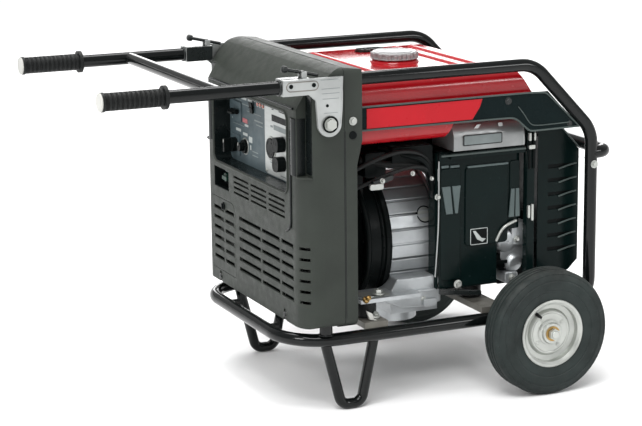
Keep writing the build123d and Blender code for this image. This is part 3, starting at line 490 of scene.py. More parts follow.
# glossy pillar beside the recess and the dark back of the pocket behind each bracket, both near black:
# painted shade in the corner under the hood
for side, sign in SIDES.items():
    jamb = [
        (-149.8, 201), (-152.2, 205), (-153.4, 211), (-153.0, 217), (-151.0, 223), (-146, 226.4),
        (-130, 226.4), (-130, 225), (-149, 224),
    ]
    mesh = bmesh.new()
    add_plate(mesh, "Z", [(x, sign * y) for x, y in jamb], 476, 586)
    finish_piece(f"corner_jamb_{side}", mesh, "cover_painted_shade", bevel=1.0)
    mesh = bmesh.new()
    add_plate(mesh, "X", rectangle(sign * 240, 555, 25, 150, 3), -129.2, -128)
    finish_piece(f"corner_pocket_painted_shade_{side}", mesh, "cover_painted_shade")
    ledge = [(-149.4, 227), (-149.2, 236), (-144, 248), (-130, 256)]
    hose(f"corner_step_{side}", [[(x, sign * y, 474.4) for x, y in ledge]], 1.6, "cover_plastic")

# screws of the outlet plate, the duplex outlet's faces, and rings round the controls
bolts("plate_screws", [((PLATE_X, y, z), (-1, 0, 0), 3, 2) for y in (-172, -3) for z in (446, 580)])
outlet_faces = [(rectangle(DUPLEX_Y, z, 30, 29, 11, 6), -133.2, PLATE_X + 1) for z in DUPLEX_ROWS]
outlet_faces += [
    (rectangle(DUPLEX_Y + shift, z + 3, 2.2, 7, 0.5, 1), -133.6, -133.0)
    for z in DUPLEX_ROWS
    for shift in (-5, 5)
]
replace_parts(plates("duplex_faces", "X", outlet_faces, "black_plastic", bevel=0.6), "duplex_outlet")
outlet_collar = [(20.5, 0), (23.5, 0), (23.0, 2), (20.8, 2)]
rings("outlet_ring", [((PLATE_X, -28, 494), (-1, 0, 0), outlet_collar)], "zinc_steel")
selector_collar = [(15, 0), (18, 0), (17.5, 1.2), (15.2, 1.2)]
rings("selector_ring", [((PANEL_X, 112, 474), (-1, 0, 0), selector_collar)], "zinc_steel")
lamp_collar = [(4.2, 0), (6, 0), (5.6, 2), (4.4, 2)]
rings("lamp_rims", [((PANEL_X, y, 572), (-1, 0, 0), lamp_collar) for y in (40, 26, 12)], "zinc_steel")
pointer = [(rectangle(112, 480, 2.4, 7, 1, 2), -131.2, -130.6)]
plates("selector_pointer", "X", pointer, "white_plastic", body="selector_knob")
switch_line = [(rectangle(159, 480, 2, 6, 0.8, 2), -144.5, -143.8)]
plates("switch_mark", "X", switch_line, "white_plastic", body="engine_switch")

# dark lining of the fuel valve pocket
mesh = bmesh.new()
valve_outer = rectangle(VALVE_Y, VALVE_Z, 78.6, 42.6, 1)
valve_inner = rectangle(VALVE_Y, VALVE_Z, 76.6, 40.6, 1)
add_frame(mesh, "X", valve_outer, valve_inner, -149.4, VALVE_BACK)
finish_piece("valve_pocket_lining", mesh, "black_plastic")
valve_floor = [(rectangle(VALVE_Y, VALVE_Z, 77, 41, 1), VALVE_FLOOR, VALVE_BACK)]
plates("valve_pocket_back", "X", valve_floor, "black_plastic")

# blank label over the fuel valve
marks("valve_label", [(142, 418, 36, 6)], "mark_pale", VALVE_FLOOR)
marks("valve_label_lines", [(176, 418, 20, 3), (176, 412, 16, 2)], "mark_grey", VALVE_FLOOR)

# ---------------------------------------------------------------- covers
for side, sign in SIDES.items():
    # black plug behind the seam, and the dark rib beside it, near black: painted shade along the seam
    plug = [(0.2, 0), (8, 0), (7.4, 1.6), (0.2, 1.9)]
    rings(f"cover_plug_{side}", [((-46.5, sign * 260, 552), (0, sign, 0), plug)], "black_plastic")
    rib_route = [(-62, sign * 258.8, z) for z in (196, 430, 560)]
    hose(f"cover_side_rib_{side}", [rib_route], 1.4, "cover_painted_shade")
# dark seam between the front cover and the rear shell
seam_routes = [
    [(SEAM_X, -258.6, 196), (SEAM_X, -258.8, 420), (SEAM_X, -258.6, 560)],
    [(SEAM_X, 258.6, 196), (SEAM_X, 258.8, 420), (SEAM_X, 258.6, 560)],
    [(SEAM_X, -212, 680), (SEAM_X, -100, 680.2), (SEAM_X, 100, 680.2), (SEAM_X, 212, 680)],
]
hose("cover_seam", seam_routes, 1.7, "rubber_black")
# lower lip of the hood, near black: painted shade under the hood
hose("hood_lip", [[(COVER_FACE, y, 604) for y in (-214, -100, 0, 100, 214)]], 2.4, "cover_painted_shade")
# vertical groove with a hooked foot, beside the slots, drawn as a near-black bar: painted shade in the
# groove
groove = [(-201, 556), (-201, 400), (-201, 380), (-192, 366), (-178, 362)]
hose("face_groove", [[(COVER_FACE, y, z) for y, z in groove]], 2.6, "cover_painted_shade")


def slot_lips(name, spans, back, **options):
    """A thin lip under each slot of the rows: spans are (low y, high y)."""
    lips = []
    for row in range(SLOT_ROWS):
        z = SLOT_TOP - SLOT_PITCH * row - LIP_DROP
        for low_y, high_y in spans:
            outline = rectangle((low_y + high_y) / 2, z, high_y - low_y, 1.8, 0.8, 2)
            lips.append((outline, COVER_FACE - 1, back))
    plates(name, "X", lips, "cover_plastic", bevel=0.4, **options)


slot_lips("slot_lips", ((-46, 66), (-142, -54), (-208, -151)), -147)
slot_lips("door_slot_lips", ((94, 142), (151, 203)), -147.5, body="access_door")
# dark gauze behind the slots
GAUZE = ((9, 285, 114, 130), (-98, 285, 92, 130), (-179, 285, 62, 130), (-40, 402, 266, 44))
plates("slot_backing", "X", [(rectangle(*area, 4), -141, -140) for area in GAUZE], "black_plastic")
bolts("face_screws", [((-150.6, y, 191), (-1, 0, 0), 4.2, 2.4) for y in (172, -165)], "black_steel")

# ---------------------------------------------------------------- side bands
# the band's edge and emboss lines are pale olive: painted highlights along its rims and emboss
BAND_LINES = (
    ("edge_top", 1.9, ((-23, 600), (100, 600), (300, 600), (380, 599.5), (392, 592), (462, 524))),
    ("edge_low", 1.9, (
        (-23, 555), (120, 554), (296, 553.5), (316, 552), (334, 536), (348, 523.5), (362, 523), (462, 524),
    )),
    ("emboss", 1.1, ((322, 574), (334, 560), (348, 538), (360, 533), (400, 533), (440, 534))),
)
RED_FIELD = ((-8, 596), (242, 596), (236, 580), (220, 557), (-8, 557.5))
for side, sign in SIDES.items():
    for line_name, radius, points in BAND_LINES:
        route = [(x, sign * BAND_FACE, z) for x, z in points]
        hose(f"band_{line_name}_{side}", [route], radius, "edge_painted_highlight")
    low, high = sorted((sign * 239.5, sign * 240.3))
    plates(f"band_red_{side}", "Y", [(RED_FIELD, low, high)], "decal_red")
    heads = [
        ((300, sign * 239.5, 587), (0, sign, 0), 5, 4),
        ((440, sign * 239.5, 531), (0, sign, 0), 4, 3.5),
    ]
    bolts(f"band_bolts_{side}", heads, "black_steel")

# ---------------------------------------------------------------- brackets
GROOVE_SHADE_LEVELS = (663, 646, 637, 627, 600)
BRACKET_HOLES = ((-176, 655, 4.2), (-130, 655, 4.2), (-103, 614, 3.0))
BRACKET_EDGE = ((-76, 578), (-73, 600), (-72, 650), (-76, 664), (-90, 666), (-150, 666), (-190, 665))
for side, sign in SIDES.items():
    # thin grey lines for the bracket's grooves: painted shade in the grooves
    low, high = sorted((sign * BRACKET_FACE, sign * 269.3))
    ribs = [(rectangle(-96, z, 40 - (659 - z) * 0.2, 0.9, 0.4, 2), low, high) for z in GROOVE_SHADE_LEVELS]
    plates(f"bracket_groove_shade_{side}", "Y", ribs, "mark_grey", body="handle", bevel=0.3)
    # black sheet on the bracket's inner face: partly its black inner finish, partly painted shade on the
    # shaded inner side
    low, high = sorted((sign * 233.3, sign * 233.9))
    liner = [(rectangle(-163, 652, 57, 29, 2), low, high)]
    plates(f"bracket_black_and_shade_{side}", "Y", liner, "black_steel", body="handle")
    top_plate = [(rectangle(-168, sign * 245, 46, 22, 2), 667, 667.6)]
    plates(f"bracket_top_{side}", "Z", top_plate, "black_steel", body="handle")
    # black discs in the bracket's holes: painted shade in the holes
    low, high = sorted((sign * BRACKET_FACE, sign * 269.5))
    holes = [(circle(a, b, r, 20), low, high) for a, b, r in BRACKET_HOLES]
    plates(f"bracket_hole_shade_{side}", "Y", holes, "black_plastic", body="handle")
    recess_route = [(x, sign * 268.8, z) for x, z in rectangle(-153, 654, 64, 17, 8.4, 6)]
    hose(f"bracket_recess_{side}", [recess_route], 1.1, "muffler_steel", body="handle", closed=True)
    edge_route = [(x, sign * 268.6, z) for x, z in BRACKET_EDGE]
    hose(f"bracket_edge_{side}", [edge_route], 1.6, "bright_alu", body="handle")
    washer = [(12.4, 0), (16.2, -0.4), (16.2, 0.5), (12.6, 0.9)]
    washer_place = (PIVOT_X, sign * 271.7, PIVOT_Z)
    rings(f"bolt_ring_{side}", [(washer_place, (0, sign, 0), washer)], "black_plastic")
    collar = [(13.2, -1), (15, -1), (15, 3), (13.2, 4)]
    collar_place = (-192, sign * HANDLE_Y, TUBE_Z)
    rings(f"sleeve_collar_{side}", [(collar_place, (-1, 0, 0), collar)], "black_steel", body="handle")

# ---------------------------------------------------------------- grips
GRIP_RIB = ((15.4, -0.6), (16.6, -0.4), (16.6, 0.4), (15.4, 0.6))
CAP_DISH = ((0.2, -0.4), (10, -0.4), (11, 0.2), (12.4, 0.2), (12.8, -0.6), (0.2, -0.6))
for side, sign in SIDES.items():
    y = sign * HANDLE_Y
    ribs = [((x, y, TUBE_Z), (1, 0, 0), GRIP_RIB) for x in range(-534, -424, 3)]
    rings(f"grip_rings_{side}", ribs, "rubber_black", body="handle")
    dish = ((-541.6, y, TUBE_Z), (-1, 0, 0), CAP_DISH)
    rings(f"cap_face_{side}", [dish], "zinc_steel", body="handle")

# ---------------------------------------------------------------- wheels
# tyre tread as (distance across, groove depth), then the side wall as (radius, distance across)
TREAD = (
    (-19, 0), (-13, 0), (-11.6, 3.4), (-9.4, 3.4), (-8, 0), (-2.4, 0), (-1, 3.4),
    (1, 3.4), (2.4, 0), (8, 0), (9.4, 3.4), (11.6, 3.4), (13, 0), (19, 0),
)
SIDE_WALL = (
    (125.6, 22.6), (124.6, 23.4), (123.0, 25.8), (120.6, 27.4), (119.4, 27.2), (116, 29.4),
    (110, 31.4), (107.4, 30.6), (105.6, 31.7), (98, 31.6), (90, 31), (88.6, 30.1), (86.8, 30.8),
    (78, 29), (68, 26), (61, 24),
)
LUGS = 60
LUG_CORNERS = ((126.6, 19.5, 2.4), (126.6, 19.5, -2.4), (121.6, 27.6, -2.0), (121.6, 27.6, 2.0))
RIM_RINGS = (
    ((64, 26.4), (67.6, 28.4), (68.6, 28.9), (67.4, 29.4), (63.4, 28.2)),
    ((38, 16.6), (41, 18.4), (43, 18.2), (44, 16.4)),
    ((20, 20), (25, 20), (25.4, 21.4), (22, 22.4), (20, 27), (19.8, 20)),
)
RIVET_RADIUS, RIVET_TURNS = 33, (0.6, 2.17, 3.74, 5.31)
STEM_RADIUS, STEM_TURN = 51, 2.2
STEM = ((0.2, 4), (3.4, 4), (3.4, 12), (2.6, 20), (0.2, 21))


def add_lug(mesh, centre, turn, flip):
    """Adds one shoulder lug of a tyre, turned round the wheel's axis."""
    corners = []
    for radius, across, along in LUG_CORNERS:
        for lift in (-2.4, 0.2):
            corner = Vector((along, flip * across, radius + lift)) / 1000
            corners.append(mesh.verts.new(mm(*centre) + turn @ corner))
    a, b, c, d, e, f, g, h = corners
    for quad in ((b, d, f, h), (a, c, e, g), (a, b, d, c), (c, d, f, e), (e, f, h, g), (g, h, b, a)):
        mesh.faces.new(quad)


for side, sign in SIDES.items():
    wheel = f"wheel_{side}"
    centre = (WHEEL_X, sign * WHEEL_Y, WHEEL_Z)
    out = (0, sign, 0)
    mesh = bmesh.new()
    crown = [(WHEEL_Z - depth, across) for across, depth in TREAD]
    mirrored = [(radius, -across) for radius, across in reversed(SIDE_WALL)]
    add_ring(mesh, centre, out, [*mirrored, *crown, *SIDE_WALL], 96)
    tyre = finish_piece(f"tyre_detail_{side}", mesh, "tyre_rubber", body=wheel, smooth=25)
    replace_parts(tyre, f"tyre_{side}")
    mesh = bmesh.new()
    for step in range(LUGS):
        turn = Matrix.Rotation(math.radians(360 / LUGS * step), 4, "Y")
        for flip in (1, -1):
            add_lug(mesh, centre, turn, flip)
    finish_piece(f"tyre_lugs_{side}", mesh, "tyre_rubber", body=wheel)
    rim_rings = [(centre, out, profile) for profile in RIM_RINGS]
    rings(f"rim_rings_{side}", rim_rings, "zinc_steel", body=wheel)
    rivets = []
    for t in RIVET_TURNS:
        x, z = WHEEL_X + RIVET_RADIUS * math.cos(t), WHEEL_Z + RIVET_RADIUS * math.sin(t)
        rivets.append(((x, sign * 309, z), out, 3.2, 2))
    bolts(f"rim_rivets_{side}", rivets, body=wheel)
    stem_x, stem_z = math.cos(STEM_TURN), math.sin(STEM_TURN)
    stem_foot = (WHEEL_X + STEM_RADIUS * stem_x, sign * 300, WHEEL_Z + STEM_RADIUS * stem_z)
    stem = (stem_foot, (-0.4 * stem_x, sign, -0.4 * stem_z), STEM)
    rings(f"valve_stem_{side}", [stem], "rubber_black", body=wheel)

# ---------------------------------------------------------------- tank
for side, sign in SIDES.items():
    seam_route = [(x, sign * 225.4, 598) for x in (-20, 100, 200, 355)]
    hose(f"tank_seam_{side}", [seam_route], 1.6, "tank_paint")
boss = [(44, -6), (50, -7), (49, -4), (45, -0.5), (40, 0.2)]
rings("tank_boss_ring", [((FILLER_X, 0, NECK_TOP), (0, 0, 1), boss)], "tank_paint")
skirt = [(46.5, 0.8), (49, 1.4), (49, 3), (47, 3.8), (46.4, 3.8)]
rings("cap_skirt", [((FILLER_X, 0, NECK_TOP), (0, 0, 1), skirt)], "grey_plastic", body="fuel_cap")
CAP_RIBS, CAP_RIB_CIRCLE = 14, 44.6
mesh = bmesh.new()
for step in range(CAP_RIBS):
    turn = 2 * math.pi * step / CAP_RIBS
    x, y = FILLER_X + CAP_RIB_CIRCLE * math.cos(turn), CAP_RIB_CIRCLE * math.sin(turn)
    add_plate(mesh, "Z", circle(x, y, 4.4, 12), 653, 663)
finish_piece("cap_ribs", mesh, "grey_plastic", body="fuel_cap", bevel=0.8)
dish = [(0.2, -1), (36, -1), (38, 0.3), (34, 1.6), (30, 0.4), (12, 0.6), (0.2, 0.9)]
rings("cap_top", [((FILLER_X, 0, CAP_TOP), (0, 0, 1), dish)], "grey_plastic", body="fuel_cap")
gauge = [(15, 0), (18, 0), (17, 3), (15, 4)]
rings("gauge_rim", [((176, 160, 643), (0, 0, 1), gauge)], "black_plastic")

# ---------------------------------------------------------------- engine bay
# bright rim of the casing and the two rims of the fan housing
rim = [(126, 0), (136, 0), (138, 2), (138, 6), (135, 8), (126, 8)]
rings("casing_rim", [((188, CRANK_Y, CRANK_Z), (1, 0, 0), rim)], "bright_alu")
rings("fan_housing_rim", [
    ((84, CRANK_Y, CRANK_Z), (-1, 0, 0), [(136, -2), (141, -1), (143, 4), (141, 10), (136, 12)]),
    ((66, CRANK_Y, CRANK_Z), (-1, 0, 0), [(136, -3), (139, 0), (136, 3)]),
], "black_plastic")

# round plate on the casing with its dark ring
PLATE_TURN, PLATE_RADIUS = math.radians(24), 131
disc_axis = (0, -math.cos(PLATE_TURN), math.sin(PLATE_TURN))
disc_y = CRANK_Y - PLATE_RADIUS * math.cos(PLATE_TURN)
disc_z = CRANK_Z + PLATE_RADIUS * math.sin(PLATE_TURN)
disc = [(0.2, 0), (15, 0), (15, 2), (0.2, 2.2)]
rings("casing_plate", [((166, disc_y, disc_z), disc_axis, disc)], "zinc_steel")
disc_edge = [(15, -3), (17.6, -3), (17.6, 2.4), (15.2, 2.6)]
rings("casing_plate_ring", [((166, disc_y, disc_z), disc_axis, disc_edge)], "black_plastic")

# flat facets round the casing, as (distance across, radius) at both ends
FACETS = 28
FACET_SECTION = ((-13.6, 128), (13.6, 128), (12.4, 133.2), (-12.4, 133.2))
FACET_FACES = ((0, 1, 2, 3), (4, 5, 6, 7), (0, 1, 5, 4), (1, 2, 6, 5), (2, 3, 7, 6), (3, 0, 4, 7))
mesh = bmesh.new()
for step in range(FACETS):
    facet_turn = 2 * math.pi * (step + 0.5) / FACETS
    outward = Vector((0, math.cos(facet_turn), math.sin(facet_turn)))
    sideways = Vector((0, -math.sin(facet_turn), math.cos(facet_turn)))
    corners = []
    for x in (86, 186):
        for across, up in FACET_SECTION:
            corner = Vector((x, CRANK_Y, CRANK_Z)) + sideways * across + outward * up
            corners.append(mesh.verts.new(corner / 1000))
    for quad in FACET_FACES:
        mesh.faces.new([corners[i] for i in quad])
finish_piece("casing_facets", mesh, "cast_aluminium", bevel=1.2)

# flared silver foot below the casing, with a ledge, a clamp and bolts
foot = [
    (88, 236), (172, 236), (178, 214), (186, 208), (186, 180), (150, 172), (96, 176), (56, 194),
    (70, 206),
]
plates("casing_skirt", "Y", [(foot, -176, -120)], "cast_aluminium", bevel=4)
plates("casing_skirt_ledge", "Y", [
    ([(60, 212), (186, 209), (186, 205), (62, 207)], -182, -150),
    (rectangle(158, 182, 30, 16, 5), -184, -160),
], "cast_aluminium", bevel=1.5)
clamp = [(0, 216), (62, 214), (66, 206), (10, 200)]
plates("mount_clamp", "Y", [(clamp, -200, -160)], "zinc_steel", bevel=1.5)
bolts("foot_bolts", [
    ((207, -206, 220), (0, -1, 0), 6, 8), ((146, -172, 190), (0, -1, 0), 6, 6),
    ((36, -195, 218), (0, 0, 1), 9, 9),
])
foot_bar = [(168, 214), (262, 200), (262, 190), (168, 202)]
plates("shield_foot_bar", "Y", [(foot_bar, -206, -198)], "black_steel", bevel=1.5)

# hoses, wires and fittings above and in front of the casing, their points listed
BAY_HOSES = (
    ("breather_hose", 7.5, "rubber_black", (
        (20, -150, 480), (60, -176, 470), (110, -182, 466), (150, -176, 458), (176, -160, 430),
    )),
    ("fuel_hose", 4.5, "rubber_black", (
        (-6, -190, 470), (40, -200, 492), (100, -196, 500), (150, -188, 480), (164, -176, 430),
        (172, -168, 400),
    )),
    ("wire_bundle", 6.0, "black_plastic", (
        (60, -150, 500), (100, -190, 488), (140, -196, 478), (160, -180, 440), (168, -172, 410),
    )),
)
for name, radius, finish_name, route in BAY_HOSES:
    hose(name, [route], radius, finish_name)
HOOP_RADIUS, HOOP_TURNS = 143, (4.6, 4.2, 3.8, 3.4, 3.0, 2.6, 2.2, 1.8)
hoop = []
for t in HOOP_TURNS:
    hoop.append((34, CRANK_Y + HOOP_RADIUS * math.cos(t), CRANK_Z + HOOP_RADIUS * math.sin(t)))
hose("front_hoop", [hoop], 6.0, "black_plastic")
union = [(0.2, 0), (7, 0), (7, 5), (5, 6), (5, 13), (3, 15), (0.2, 15)]
rings("brass_union", [((-6, -224, 216), (0.3, -0.6, 0.5), union)], "bronze")
bolts("bay_bolts", [
    ((40, -208, 446), (0.2, -1, 0.3), 4, 5), ((112, -196, 452), (0, -1, 0.2), 3.5, 5),
    ((170, -190, 398), (0, -1, 0), 4.5, 6), ((158, -188, 436), (0, -1, 0.3), 3, 4),
    ((20, -216, 180), (0, -0.5, 1), 6, 8),
])
plates("bay_bracket", "Y", [
    ([(24, 434), (64, 446), (64, 456), (20, 446)], -208, -196),
    ([(150, 470), (176, 470), (176, 400), (168, 392)], -172, -160),
], "black_steel", bevel=1.5)
plates("ignition_box", "Y", [
    (rectangle(118, 484, 90, 40, 6), -184, -120), (rectangle(44, 470, 46, 50, 6), -170, -110),
], "black_plastic", bevel=2.0)
# dark plates that close the view through the bay: painted shade inside the bay
plates("bay_painted_shade", "Y", [
    (rectangle(88, 486, 220, 66, 4), -112, -108), (rectangle(226, 478, 76, 84, 4), -112, -108),
    (rectangle(372, 262, 70, 150, 4), -132, -128), (rectangle(14, 300, 60, 330, 4), -112, -108),
], "black_plastic")
bundle = [
    (-10, -186, 430), (30, -196, 446), (80, -198, 462), (130, -194, 466), (160, -184, 448),
    (170, -176, 424),
]
hose("bay_bundle", [bundle], 4.0, "rubber_black")
clip = [(rectangle(26, 436, 30, 12, 4), -214, -206)]
plates("bay_bright_bits", "Y", clip, "zinc_steel", bevel=1.5)
plates("terminal_clips", "Y", [
    ([(-6, 196), (6, 190), (10, 176), (0, 178)], -232, -226),
    ([(8, 180), (26, 170), (28, 164), (10, 172)], -232, -226),
], "white_plastic", bevel=0.8)

# ---------------------------------------------------------------- engine shield
# raised panels over the flat face
plates("shield_panels", "Y", [
    (rectangle(197, 340, 44, 226, 6), SHIELD_FACE - 3, SHIELD_FACE),
    (rectangle(278, 372, 96, 160, 8), SHIELD_FACE - 4, SHIELD_FACE),
    (rectangle(342, 405, 22, 104, 5), SHIELD_FACE - 3, SHIELD_FACE),
], "shield_gloss", bevel=2.2)
# four tapered ribs and three short bars above them, pale grey: painted highlights on the shield
TAPERS = (
    ((176, 418), (195, 418), (201, 362), (186, 362)),
    ((199, 418), (218, 418), (212, 362), (206, 362)),
    ((333, 400), (341, 400), (340, 342), (328, 342)),
    ((343, 400), (351, 400), (353, 342), (343, 342)),
)
painted_highlight_ribs = [(outline, SHIELD_FACE - 5.5, SHIELD_FACE - 2.5) for outline in TAPERS]
for area, proud in (((184, 458, 16, 5), 4), ((206, 457, 20, 5), 4), ((280, 453, 92, 4), 5)):
    painted_highlight_ribs.append((rectangle(*area, 1.5), SHIELD_FACE - proud, SHIELD_FACE))
plates("shield_ribs_painted_highlight", "Y", painted_highlight_ribs, "shield_painted_highlight", bevel=0.8)

# empty square label with a plain stroke
DECAL_X, DECAL_Z = 260, 310
frame_route = [(x, SHIELD_FACE - 4.6, z) for x, z in rectangle(DECAL_X, DECAL_Z, 38, 32, 1.5, 3)]
hose("shield_decal_frame", [frame_route], 0.8, "mark_pale", closed=True)
stroke = [(246, 322), (252, 322), (266, 306), (276, 304), (268, 298), (256, 304)]
stroke_plate = [(stroke, SHIELD_FACE - 4.9, SHIELD_FACE - 4.4)]
plates("shield_decal_mark", "Y", stroke_plate, "mark_pale")
decal_back = [(rectangle(DECAL_X, DECAL_Z, 36, 30, 1.5, 3), SHIELD_FACE - 4.5, SHIELD_FACE - 2)]
plates("shield_decal_back", "Y", decal_back, "black_plastic")

# silver pipe over the window, and the bright edge next to the casing
window_pipe = [(300, -196, 296), (306, -200, 316), (322, -202, 330), (344, -198, 334)]
hose("shield_hose", [window_pipe], 3.0, "zinc_steel")
edge = [(171, -193, 470), (171, -194, 380), (168, -194, 300), (163, -193, 236)]
hose("shield_edge", [edge], 1.5, "bright_alu")

# cast parts in the shield's window
mesh = bmesh.new()
upper_boss = [(0.2, 0), (26, 0), (26, 14), (21, 22), (12, 26), (0.2, 26)]
add_ring(mesh, (334, -158, 288), (0, -1, 0), upper_boss)
lower_boss = [(0.2, 0), (20, 0), (21, 14), (16, 24), (0.2, 26)]
add_ring(mesh, (350, -158, 244), (0.2, -1, -0.2), lower_boss)
add_plate(mesh, "Y", rectangle(364, 302, 44, 46, 8), -184, -140)
add_plate(mesh, "Y", rectangle(352, 262, 62, 30, 8), -176, -140)
add_plate(mesh, "Y", rectangle(344, 212, 30, 24, 6), -182, -140)
finish_piece("filler_castings", mesh, "cast_aluminium", bevel=2.5)
FILLER_BOLTS = ((374, -184, 312), (354, -184, 292), (344, -182, 212))
bolts("filler_bolts", [(place, (0, -1, 0), 5, 6) for place in FILLER_BOLTS])

# post between shield and rear cover; its bright strips are painted highlights on the black post and pipes,
# and the strip across the pipes is a clip
plates("bay_post", "Y", [(rectangle(373, 372, 18, 300, 4), -206, -188)], "shield_gloss", bevel=2.5)
post_pipes = [[(x, -207, 514), (x, -208, 480), (x, -207, 440)] for x in (368, 378)]
hose("post_pipes", post_pipes, 3.2, "black_plastic")
plates("post_clips_and_highlights", "Y", [
    (rectangle(367, 505, 5, 16, 2), -212, -206), (rectangle(378, 505, 4, 16, 2), -212, -206),
    (rectangle(372, 484, 14, 8, 2), -211, -205), (rectangle(367, 352, 5, 26, 2), -210, -205),
    (rectangle(375, 350, 5, 34, 2), -210, -205),
], "zinc_steel", bevel=0.8)

# ---------------------------------------------------------------- heat cover
bolts("heat_cover_bolts", [((x, -168, 547), (0, -0.3, 1), 5, 4) for x in (262, 330)])
plates("heat_cover_facets", "Y", [
    ([(252, 538), (262, 538), (250, 524), (240, 524)], -199, -196),
    ([(300, 538), (310, 538), (312, 524), (302, 524)], -199, -196),
], "bright_alu", bevel=0.6)
# blank rating label
LABEL_X, LABEL_Z = 262, 509
label_edge = [(rectangle(LABEL_X, LABEL_Z, 88, 22, 3), -206.8, -205)]
plates("heat_cover_panel", "Y", label_edge, "black_steel", bevel=0.5)
label_field = [(rectangle(LABEL_X, LABEL_Z, 83, 17.5, 2), -207.2, -206)]
plates("heat_cover_panel_inner", "Y", label_field, "mark_grey", bevel=0.3)
cover_edge = [(356, -204, 490), (357, -205, 510), (354, -196, 532), (350, -176, 545)]
hose("heat_cover_edge", [cover_edge], 2.0, "bright_alu")
# pale olive line along the tray's edge: painted highlight
hose("tray_edge", [[(x, -206.5, 482) for x in (170, 230, 300, 359)]], 2.2, "edge_painted_highlight")

# ---------------------------------------------------------------- rear cover
# louvre lips as (x, y, rise), rising rearwards
LOUVRE_LIP = ((440, 200.8, -6), (454, 201, -2.5), (470, 200.6, 1), (482, 199.2, 2))
for side, sign in SIDES.items():
    low, high = sorted((sign * 196, sign * 197))
    lips, backs = [], []
    for row in range(LOUVRE_ROWS):
        z = LOUVRE_TOP - LOUVRE_PITCH * row
        lips.append([(x, sign * y, z + rise) for x, y, rise in LOUVRE_LIP])
        backs.append((rectangle(446, z, 62, 12, 2), low, high))
    # pale olive lips: painted highlights along the louvres
    hose(f"louvre_lips_{side}", lips, 1.7, "edge_painted_highlight")
    plates(f"louvre_backs_{side}", "Y", backs, "black_plastic")
ridges = []
for row in range(LOUVRE_ROWS):
    ridges.append((rectangle(0, 424.0 - LOUVRE_PITCH * row, 384, 15, 4), 486.5, 489))
plates("rear_ridges", "X", ridges, "black_plastic", bevel=1.0)
# pale olive top edges of the rear cover: painted highlights
TOP_EDGE = ((489, 196, 472), (470, 199, 492), (446, 200, 516))
top_edges = [[(x, sign * y, z) for x, y, z in TOP_EDGE] for sign in (-1, 1)]
hose("rear_cover_top_edge", top_edges, 1.5, "edge_painted_highlight")

# ---------------------------------------------------------------- weld beads on the frame
LEG_BEAD = ((12.6, -1.5), (15.2, -0.4), (14.6, 1.6), (12.6, 2.4))
REAR_BEAD = ((12.6, -1), (12.9, 0), (12.6, 1))
welds = []
for sign in SIDES.values():
    welds.append(((-98, sign * 241.5, 163.5), (0, 0, 1), LEG_BEAD))
    welds.append(((477.6, sign * 230, 468), (0, 1, 0), REAR_BEAD))
rings("weld_beads", welds, "frame_paint")

# ---------------------------------------------------------------- camera
# pose and lens fitted to the photograph
YAW, PITCH, ROLL = math.radians(24.26), math.radians(12.67), math.radians(-0.62)
CAMERA_PLACE = (-1643.68, -3653.47, 1245.55)
LENS = 113.43
look = Vector((math.sin(YAW) * math.cos(PITCH), math.cos(YAW) * math.cos(PITCH), -math.sin(PITCH)))
level = Vector((math.cos(YAW), -math.sin(YAW), 0))
upward = level.cross(look)
right = level * math.cos(ROLL) + upward * math.sin(ROLL)
top = -level * math.sin(ROLL) + upward * math.cos(ROLL)
camera_data = bpy.data.cameras.new("camera")
camera_data.lens = LENS
camera_data.sensor_width = 36.0
camera_data.clip_end = 60.0
camera = bpy.data.objects.new("camera", camera_data)
bpy.context.scene.collection.objects.link(camera)
turn = Matrix((right, top, -look)).transposed().to_4x4()
camera.matrix_world = Matrix.Translation(mm(*CAMERA_PLACE)) @ turn
bpy.context.scene.camera = camera


# ---------------------------------------------------------------- floor and light
# floor bowl in metres, as (radius, height)
BOWL = ((9.0, 0.0), (11.0, 0.25), (12.4, 1.1), (13.2, 2.6))
BOWL_STEPS = 72


def floor_material():
    """Pale paper with a faint unevenness."""
    mat = bpy.data.materials.new("floor_paper")
    mat.use_nodes = True
    nodes, link = mat.node_tree.nodes, mat.node_tree.links.new
    shader = nodes["Principled BSDF"]
    shader.inputs["Roughness"].default_value = 0.9
    speckle = nodes.new("ShaderNodeTexNoise")
    speckle.inputs["Scale"].default_value = 3.0
    tint = nodes.new("ShaderNodeMapRange")
    tint.inputs["To Min"].default_value = 0.93
    tint.inputs["To Max"].default_value = 0.96
    link(speckle.outputs["Fac"], tint.inputs["Value"])
    link(tint.outputs["Result"], shader.inputs["Base Color"])
    return mat


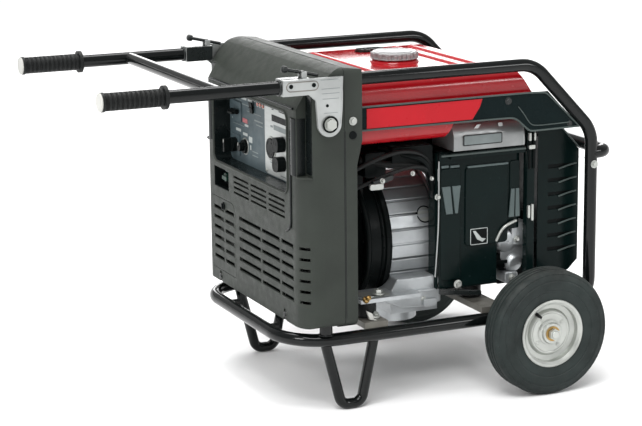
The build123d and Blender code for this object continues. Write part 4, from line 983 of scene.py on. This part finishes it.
mesh = bmesh.new()
rows = []
for step in range(BOWL_STEPS):
    turn = 2 * math.pi * step / BOWL_STEPS
    rows.append([mesh.verts.new((r * math.cos(turn), r * math.sin(turn), z)) for r, z in BOWL])
middle = mesh.verts.new((0, 0, 0))
for step in range(BOWL_STEPS):
    row, following = rows[step], rows[(step + 1) % BOWL_STEPS]
    mesh.faces.new((middle, row[0], following[0]))
    for i in range(len(row) - 1):
        mesh.faces.new((row[i], row[i + 1], following[i + 1], following[i]))
floor_mesh = bpy.data.meshes.new("floor")
mesh.to_mesh(floor_mesh)
mesh.free()
floor_mesh.materials.append(floor_material())
floor_mesh.shade_smooth()
floor = bpy.data.objects.new("floor", floor_mesh)
bpy.context.scene.collection.objects.link(floor)

world = bpy.data.worlds.new("studio")
bpy.context.scene.world = world
world.use_nodes = True
background = world.node_tree.nodes["Background"]
background.inputs["Color"].default_value = (1.0, 1.0, 1.0, 1)
background.inputs["Strength"].default_value = 0.44


def softbox(name, place, target, size, power):
    """Rectangular soft light aimed at a point; places in metres, power in watts."""
    light = bpy.data.lights.new(name, "AREA")
    light.shape = "RECTANGLE"
    light.size, light.size_y = size
    light.energy = power
    obj = bpy.data.objects.new(name, light)
    bpy.context.scene.collection.objects.link(obj)
    obj.location = place
    obj.rotation_euler = (Vector(target) - Vector(place)).to_track_quat("-Z", "Y").to_euler()
    obj.visible_camera = False


softbox("overhead", (0.2, 1.0, 3.2), (0, 0, 0.4), (2.4, 1.4), 60)
softbox("key_front", (-3.4, -1.6, 2.2), (0, 0, 0.35), (1.2, 1.2), 55)
softbox("side_fill", (2.6, -3.6, 2.1), (0.1, 0, 0.35), (1.2, 0.8), 30)
softbox("back_glare", (1.9, 4.6, 1.75), (0.1, 0, 0.5), (2.8, 1.5), 50)

# broad soft light from above
sun_light = bpy.data.lights.new("sky_panel", "SUN")
sun_light.energy = 2.2
sun_light.angle = math.radians(35)
sun = bpy.data.objects.new("sky_panel", sun_light)
bpy.context.scene.collection.objects.link(sun)
sun.rotation_euler = Vector((0.35, 0.45, -1.0)).to_track_quat("-Z", "Y").to_euler()

bpy.context.scene.view_settings.view_transform = "Standard"
